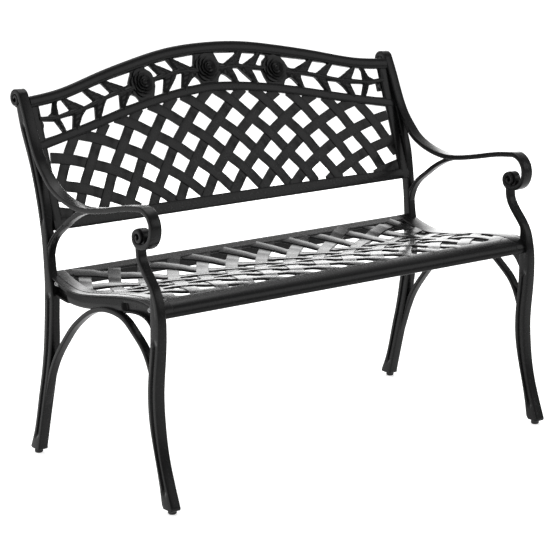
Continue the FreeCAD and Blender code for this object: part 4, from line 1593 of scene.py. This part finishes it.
@dataclass(frozen=True)
class Finish:
    """Finish of one material slot."""

    slot: str
    colour: Triple
    # Colour of the lighter edges: wear of the coat, and also painted highlight along edges.
    rubbed: Triple
    dusty: Triple
    roughness: float
    roughness_spread: float
    metallic: float
    specular: float
    grain: float
    ripple: float
    bump: float
    # How much of the lighter edge colour is laid on: wear and painted highlight together.
    rub_amount: float
    dust_amount: float
    mottle: float = 0.18
    bump_height: float = 0.4 * MM

    @staticmethod
    def mixed(graph: NodeGraph, share: NodeSocket, first: object, second: object) -> NodeSocket:
        """Mixes two colours by a mask."""
        mix = graph.node("ShaderNodeMix", data_type="RGBA")
        graph.tree.links.new(share, mix.inputs["Factor"])
        for name, value in (("A", first), ("B", second)):
            socket = [item for item in mix.inputs if item.name == name and item.type == "RGBA"][0]
            if isinstance(value, NodeSocket):
                graph.tree.links.new(value, socket)
            else:
                socket.default_value = (*value, 1.0)
        return [item for item in mix.outputs if item.type == "RGBA"][0]

    def material(self, effects: Effects) -> Material:
        """Builds the material.

        Args:
            effects: shared node groups.

        Returns:
            Procedural material on object coordinates.
        """
        made = bpy.data.materials.new(self.slot)
        graph = cleared(made)
        grain = graph.node("ShaderNodeGroup", {"Grain": self.grain, "Ripple": self.ripple}, node_tree=effects.grain)
        worn_and_highlit = graph.node("ShaderNodeGroup", {"Amount": self.rub_amount}, node_tree=effects.rubbing)
        dust = graph.node("ShaderNodeGroup", {"Amount": self.dust_amount}, node_tree=effects.dust)
        dark, light = (tuple(level * part for part in self.colour) for level in (1 - self.mottle, 1 + self.mottle))
        colour = self.mixed(graph, grain.outputs["Mottle"], dark, light)
        # Lighter edges, laid on as colour: wear of the coat and painted highlight.
        colour = self.mixed(graph, worn_and_highlit.outputs["Mask"], colour, self.rubbed)
        colour = self.mixed(graph, dust.outputs["Mask"], colour, self.dusty)
        rough = graph.node("ShaderNodeMapRange", {
            "Value": grain.outputs["Mottle"], "From Min": 0.3, "From Max": 0.7,
            "To Min": self.roughness - self.roughness_spread, "To Max": self.roughness + self.roughness_spread})
        bump = graph.node("ShaderNodeBump", {"Strength": self.bump, "Distance": self.bump_height,
                                             "Height": grain.outputs["Height"]})
        shader = graph.node("ShaderNodeBsdfPrincipled", {
            "Base Color": colour, "Roughness": rough.outputs["Result"], "Metallic": self.metallic,
            "Specular IOR Level": self.specular, "Normal": bump.outputs["Normal"]})
        graph.node("ShaderNodeOutputMaterial", {"Surface": shader.outputs[0]})
        return made


# The lighter edge colours below stand for worn coat and for painted highlight along edges.
POWDER_COAT = Finish(
    "powder_coat", colour=(0.0060, 0.0060, 0.0062), rubbed=(0.04, 0.04, 0.04), dusty=(0.04, 0.04, 0.039),
    roughness=0.26, roughness_spread=0.04, metallic=0.0, specular=0.15, grain=1500.0, ripple=130.0,
    bump=0.04, rub_amount=0.25, dust_amount=0.08)
FIXING_STEEL = Finish(
    "fixing_steel", colour=(0.27, 0.27, 0.274), rubbed=(0.5, 0.5, 0.5), dusty=(0.3, 0.29, 0.28),
    roughness=0.30, roughness_spread=0.07, metallic=1.0, specular=0.5, grain=2600.0, ripple=420.0,
    bump=0.12, rub_amount=0.4, dust_amount=0.1)
FOOT_PLASTIC = Finish(
    "foot_plastic", colour=(0.016, 0.016, 0.016), rubbed=(0.06, 0.06, 0.06), dusty=(0.12, 0.115, 0.11),
    roughness=0.58, roughness_spread=0.06, metallic=0.0, specular=0.4, grain=2200.0, ripple=300.0,
    bump=0.25, rub_amount=0.5, dust_amount=0.15)


@dataclass(frozen=True)
class Lamp:
    """Soft rectangular lamp."""

    name: str
    place: Triple
    size: Pair
    power: float


@dataclass
class Studio:
    """Floor, world, lamps and camera."""

    camera_place: Triple = (-2.852, -3.686, 1.462)
    camera_yaw: float = 37.59
    camera_drop: float = 13.345
    lens: float = 142.8
    sensor: float = 36.0
    room: float = 0.40
    backdrop: float = 1.0
    floor_edge: float = 30.0
    floor_colour: tuple[float, ...] = (0.82, 0.82, 0.82, 1)
    floor_glow: float = 0.62
    lamps_aim: Triple = (0, 0, 0.45)
    lamps: tuple[Lamp, ...] = (
        Lamp("backdrop_glow", (1.6, 2.7, 1.2), (3.1, 1.7), 55.0),
        Lamp("overhead", (0.2, 0.6, 3.4), (3.0, 2.4), 46.0),
        Lamp("left_side", (-3.4, 0.2, 1.9), (1.2, 2.4), 12.0),
        Lamp("front_right", (2.4, -3.2, 2.4), (2.6, 2.2), 34.0))

    def add_camera(self) -> None:
        """Camera at the photograph's place, with no shift and no depth of field."""
        data = bpy.data.cameras.new("camera")
        data.lens, data.sensor_width = self.lens, self.sensor
        data.clip_start, data.clip_end = 0.05, 100.0
        camera = linked("camera", data)
        camera.location = self.camera_place
        camera.rotation_euler = Euler((math.radians(90 - self.camera_drop), 0, math.radians(-self.camera_yaw)))
        bpy.context.scene.camera = camera

    def add_floor(self) -> None:
        """Wide pale floor that goes over into the white behind it."""
        edge = self.floor_edge
        corners = [(-edge, -edge, 0), (edge, -edge, 0), (edge, edge, 0), (-edge, edge, 0)]
        floor = linked("floor", plain_mesh("floor", corners, [range(4)]))
        material = bpy.data.materials.new("pale_floor")
        graph = cleared(material)
        matt = graph.node("ShaderNodeBsdfDiffuse", {"Color": self.floor_colour})
        glow = graph.node("ShaderNodeEmission", {"Color": WHITE, "Strength": self.floor_glow})
        both = graph.node("ShaderNodeAddShader", {0: matt.outputs[0], 1: glow.outputs[0]})
        rays = graph.node("ShaderNodeLightPath").outputs
        path = graph.math("MAXIMUM", graph.math("MAXIMUM", rays["Is Camera Ray"], rays["Is Glossy Ray"]),
                          rays["Is Transmission Ray"])
        seen = graph.node("ShaderNodeMixShader", {0: path, 1: matt.outputs[0], 2: both.outputs[0]})
        graph.node("ShaderNodeOutputMaterial", {"Surface": seen.outputs[0]})
        floor.data.materials.append(material)

    def add_world(self) -> None:
        """White backdrop to the rear and a dimmer room in front."""
        world = bpy.data.worlds.new("studio")
        bpy.context.scene.world = world
        graph = cleared(world)
        way = graph.node("ShaderNodeTexCoord").outputs["Generated"]
        parts = graph.node("ShaderNodeSeparateXYZ", {0: way}).outputs
        rear = graph.ramp(parts["Y"], -0.35, 0.6, interpolation_type="SMOOTHSTEP")
        rays = graph.node("ShaderNodeLightPath").outputs
        mirrored = graph.math("MULTIPLY", rays["Is Glossy Ray"], rear)
        direct = graph.math("MAXIMUM", rays["Is Camera Ray"], rays["Is Transmission Ray"])
        white = graph.math("MAXIMUM", rear, graph.math("MAXIMUM", direct, mirrored))
        level = graph.math("MULTIPLY_ADD", white, self.backdrop - self.room, self.room)
        shader = graph.node("ShaderNodeBackground", {"Color": WHITE, "Strength": level})
        graph.node("ShaderNodeOutputWorld", {"Surface": shader.outputs[0]})

    def add_lamp(self, lamp: Lamp) -> None:
        """Lamp that looks at the bench and isn't seen itself."""
        data = bpy.data.lights.new(lamp.name, "AREA")
        data.shape, data.energy = "RECTANGLE", lamp.power
        data.size, data.size_y = lamp.size
        made = linked(lamp.name, data)
        made.location = lamp.place
        made.rotation_mode = "QUATERNION"
        made.rotation_quaternion = (Vector(self.lamps_aim) - Vector(lamp.place)).to_track_quat("-Z", "Y")
        made.visible_camera = False

    def build(self) -> None:
        """Whole studio."""
        bpy.context.scene.view_settings.view_transform = "Standard"
        self.add_camera()
        self.add_floor()
        self.add_world()
        for lamp in self.lamps:
            self.add_lamp(lamp)


def place_piece(piece: Object, body: str, nodes: Sequence[str]) -> None:
    """Hangs a finished piece on its body in place of its CAD nodes.

    Args:
        piece: finished object.
        body: CAD body that it moves with.
        nodes: CAD nodes that it stands for.
    """
    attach(piece, body)
    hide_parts(*nodes)
    log.info("%s: %d faces, for %s", piece.name, len(piece.data.polygons), ", ".join(nodes))


def main() -> None:
    """Builds every piece in order."""
    logging.basicConfig(level=logging.INFO, format="%(name)s: %(message)s")
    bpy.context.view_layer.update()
    effects = Effects()
    coat, steel, plastic = (finish.material(effects) for finish in (POWDER_COAT, FIXING_STEEL, FOOT_PLASTIC))
    trees = Trees(lattice_tree(), copies_tree())
    Studio().build()

    back = BackPanel()
    end = EndFrame().build(back)
    castings = {
        "end_frame_right": end,
        "end_frame_left": end.mirrored(),
        "seat_panel": SeatPanel().build(trees.lattice, coat),
        "back_panel": back.build(trees, coat),
    }
    for node, casting in castings.items():
        place_piece(casting.piece(f"{node}_casting", coat), "bench", [node])

    fixings = Fixings()
    bolts = {"seat": fixings.bolt_shape(fixings.seat_length), "back": fixings.bolt_shape(fixings.back_length)}
    shapes = {(panel, "bolt"): shape for panel, shape in bolts.items()}
    shapes |= {(panel, "washer"): fixings.washer_shape() for panel in bolts}
    rows = {"seat": ("rear", "front"), "back": ("lower", "upper")}
    for (panel, kind), shape in shapes.items():
        lift = fixings.washer_height if kind == "bolt" else 0.0
        casting = Casting()
        casting.add(*copies(trees.copies, shape, fixings.spots(back, lift)[panel], steel))
        nodes = [f"{panel}_{kind}_{row}_{hand.word}" for row in rows[panel] for hand in Hand]
        place_piece(casting.piece(f"{panel}_{kind}s", steel), "bench", nodes)

    feet = FootSet()
    for row in Row:
        for hand in Hand:
            tag = f"{row.value}_{hand.word}"
            low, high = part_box(f"foot_stud_{tag}")
            x, y = (low.x + high.x) / 2, (low.y + high.y) / 2
            pad = feet.pad(x, y).piece(f"foot_pad_{tag}_ribbed", plastic)
            place_piece(pad, f"pad_{tag}", [f"foot_pad_{tag}"])
            stud = feet.stud(x, y, low.z, high.z).piece(f"foot_stud_{tag}_threaded", steel)
            place_piece(stud, f"stud_{tag}", [f"foot_stud_{tag}"])


if __name__ == "__main__":
    main()
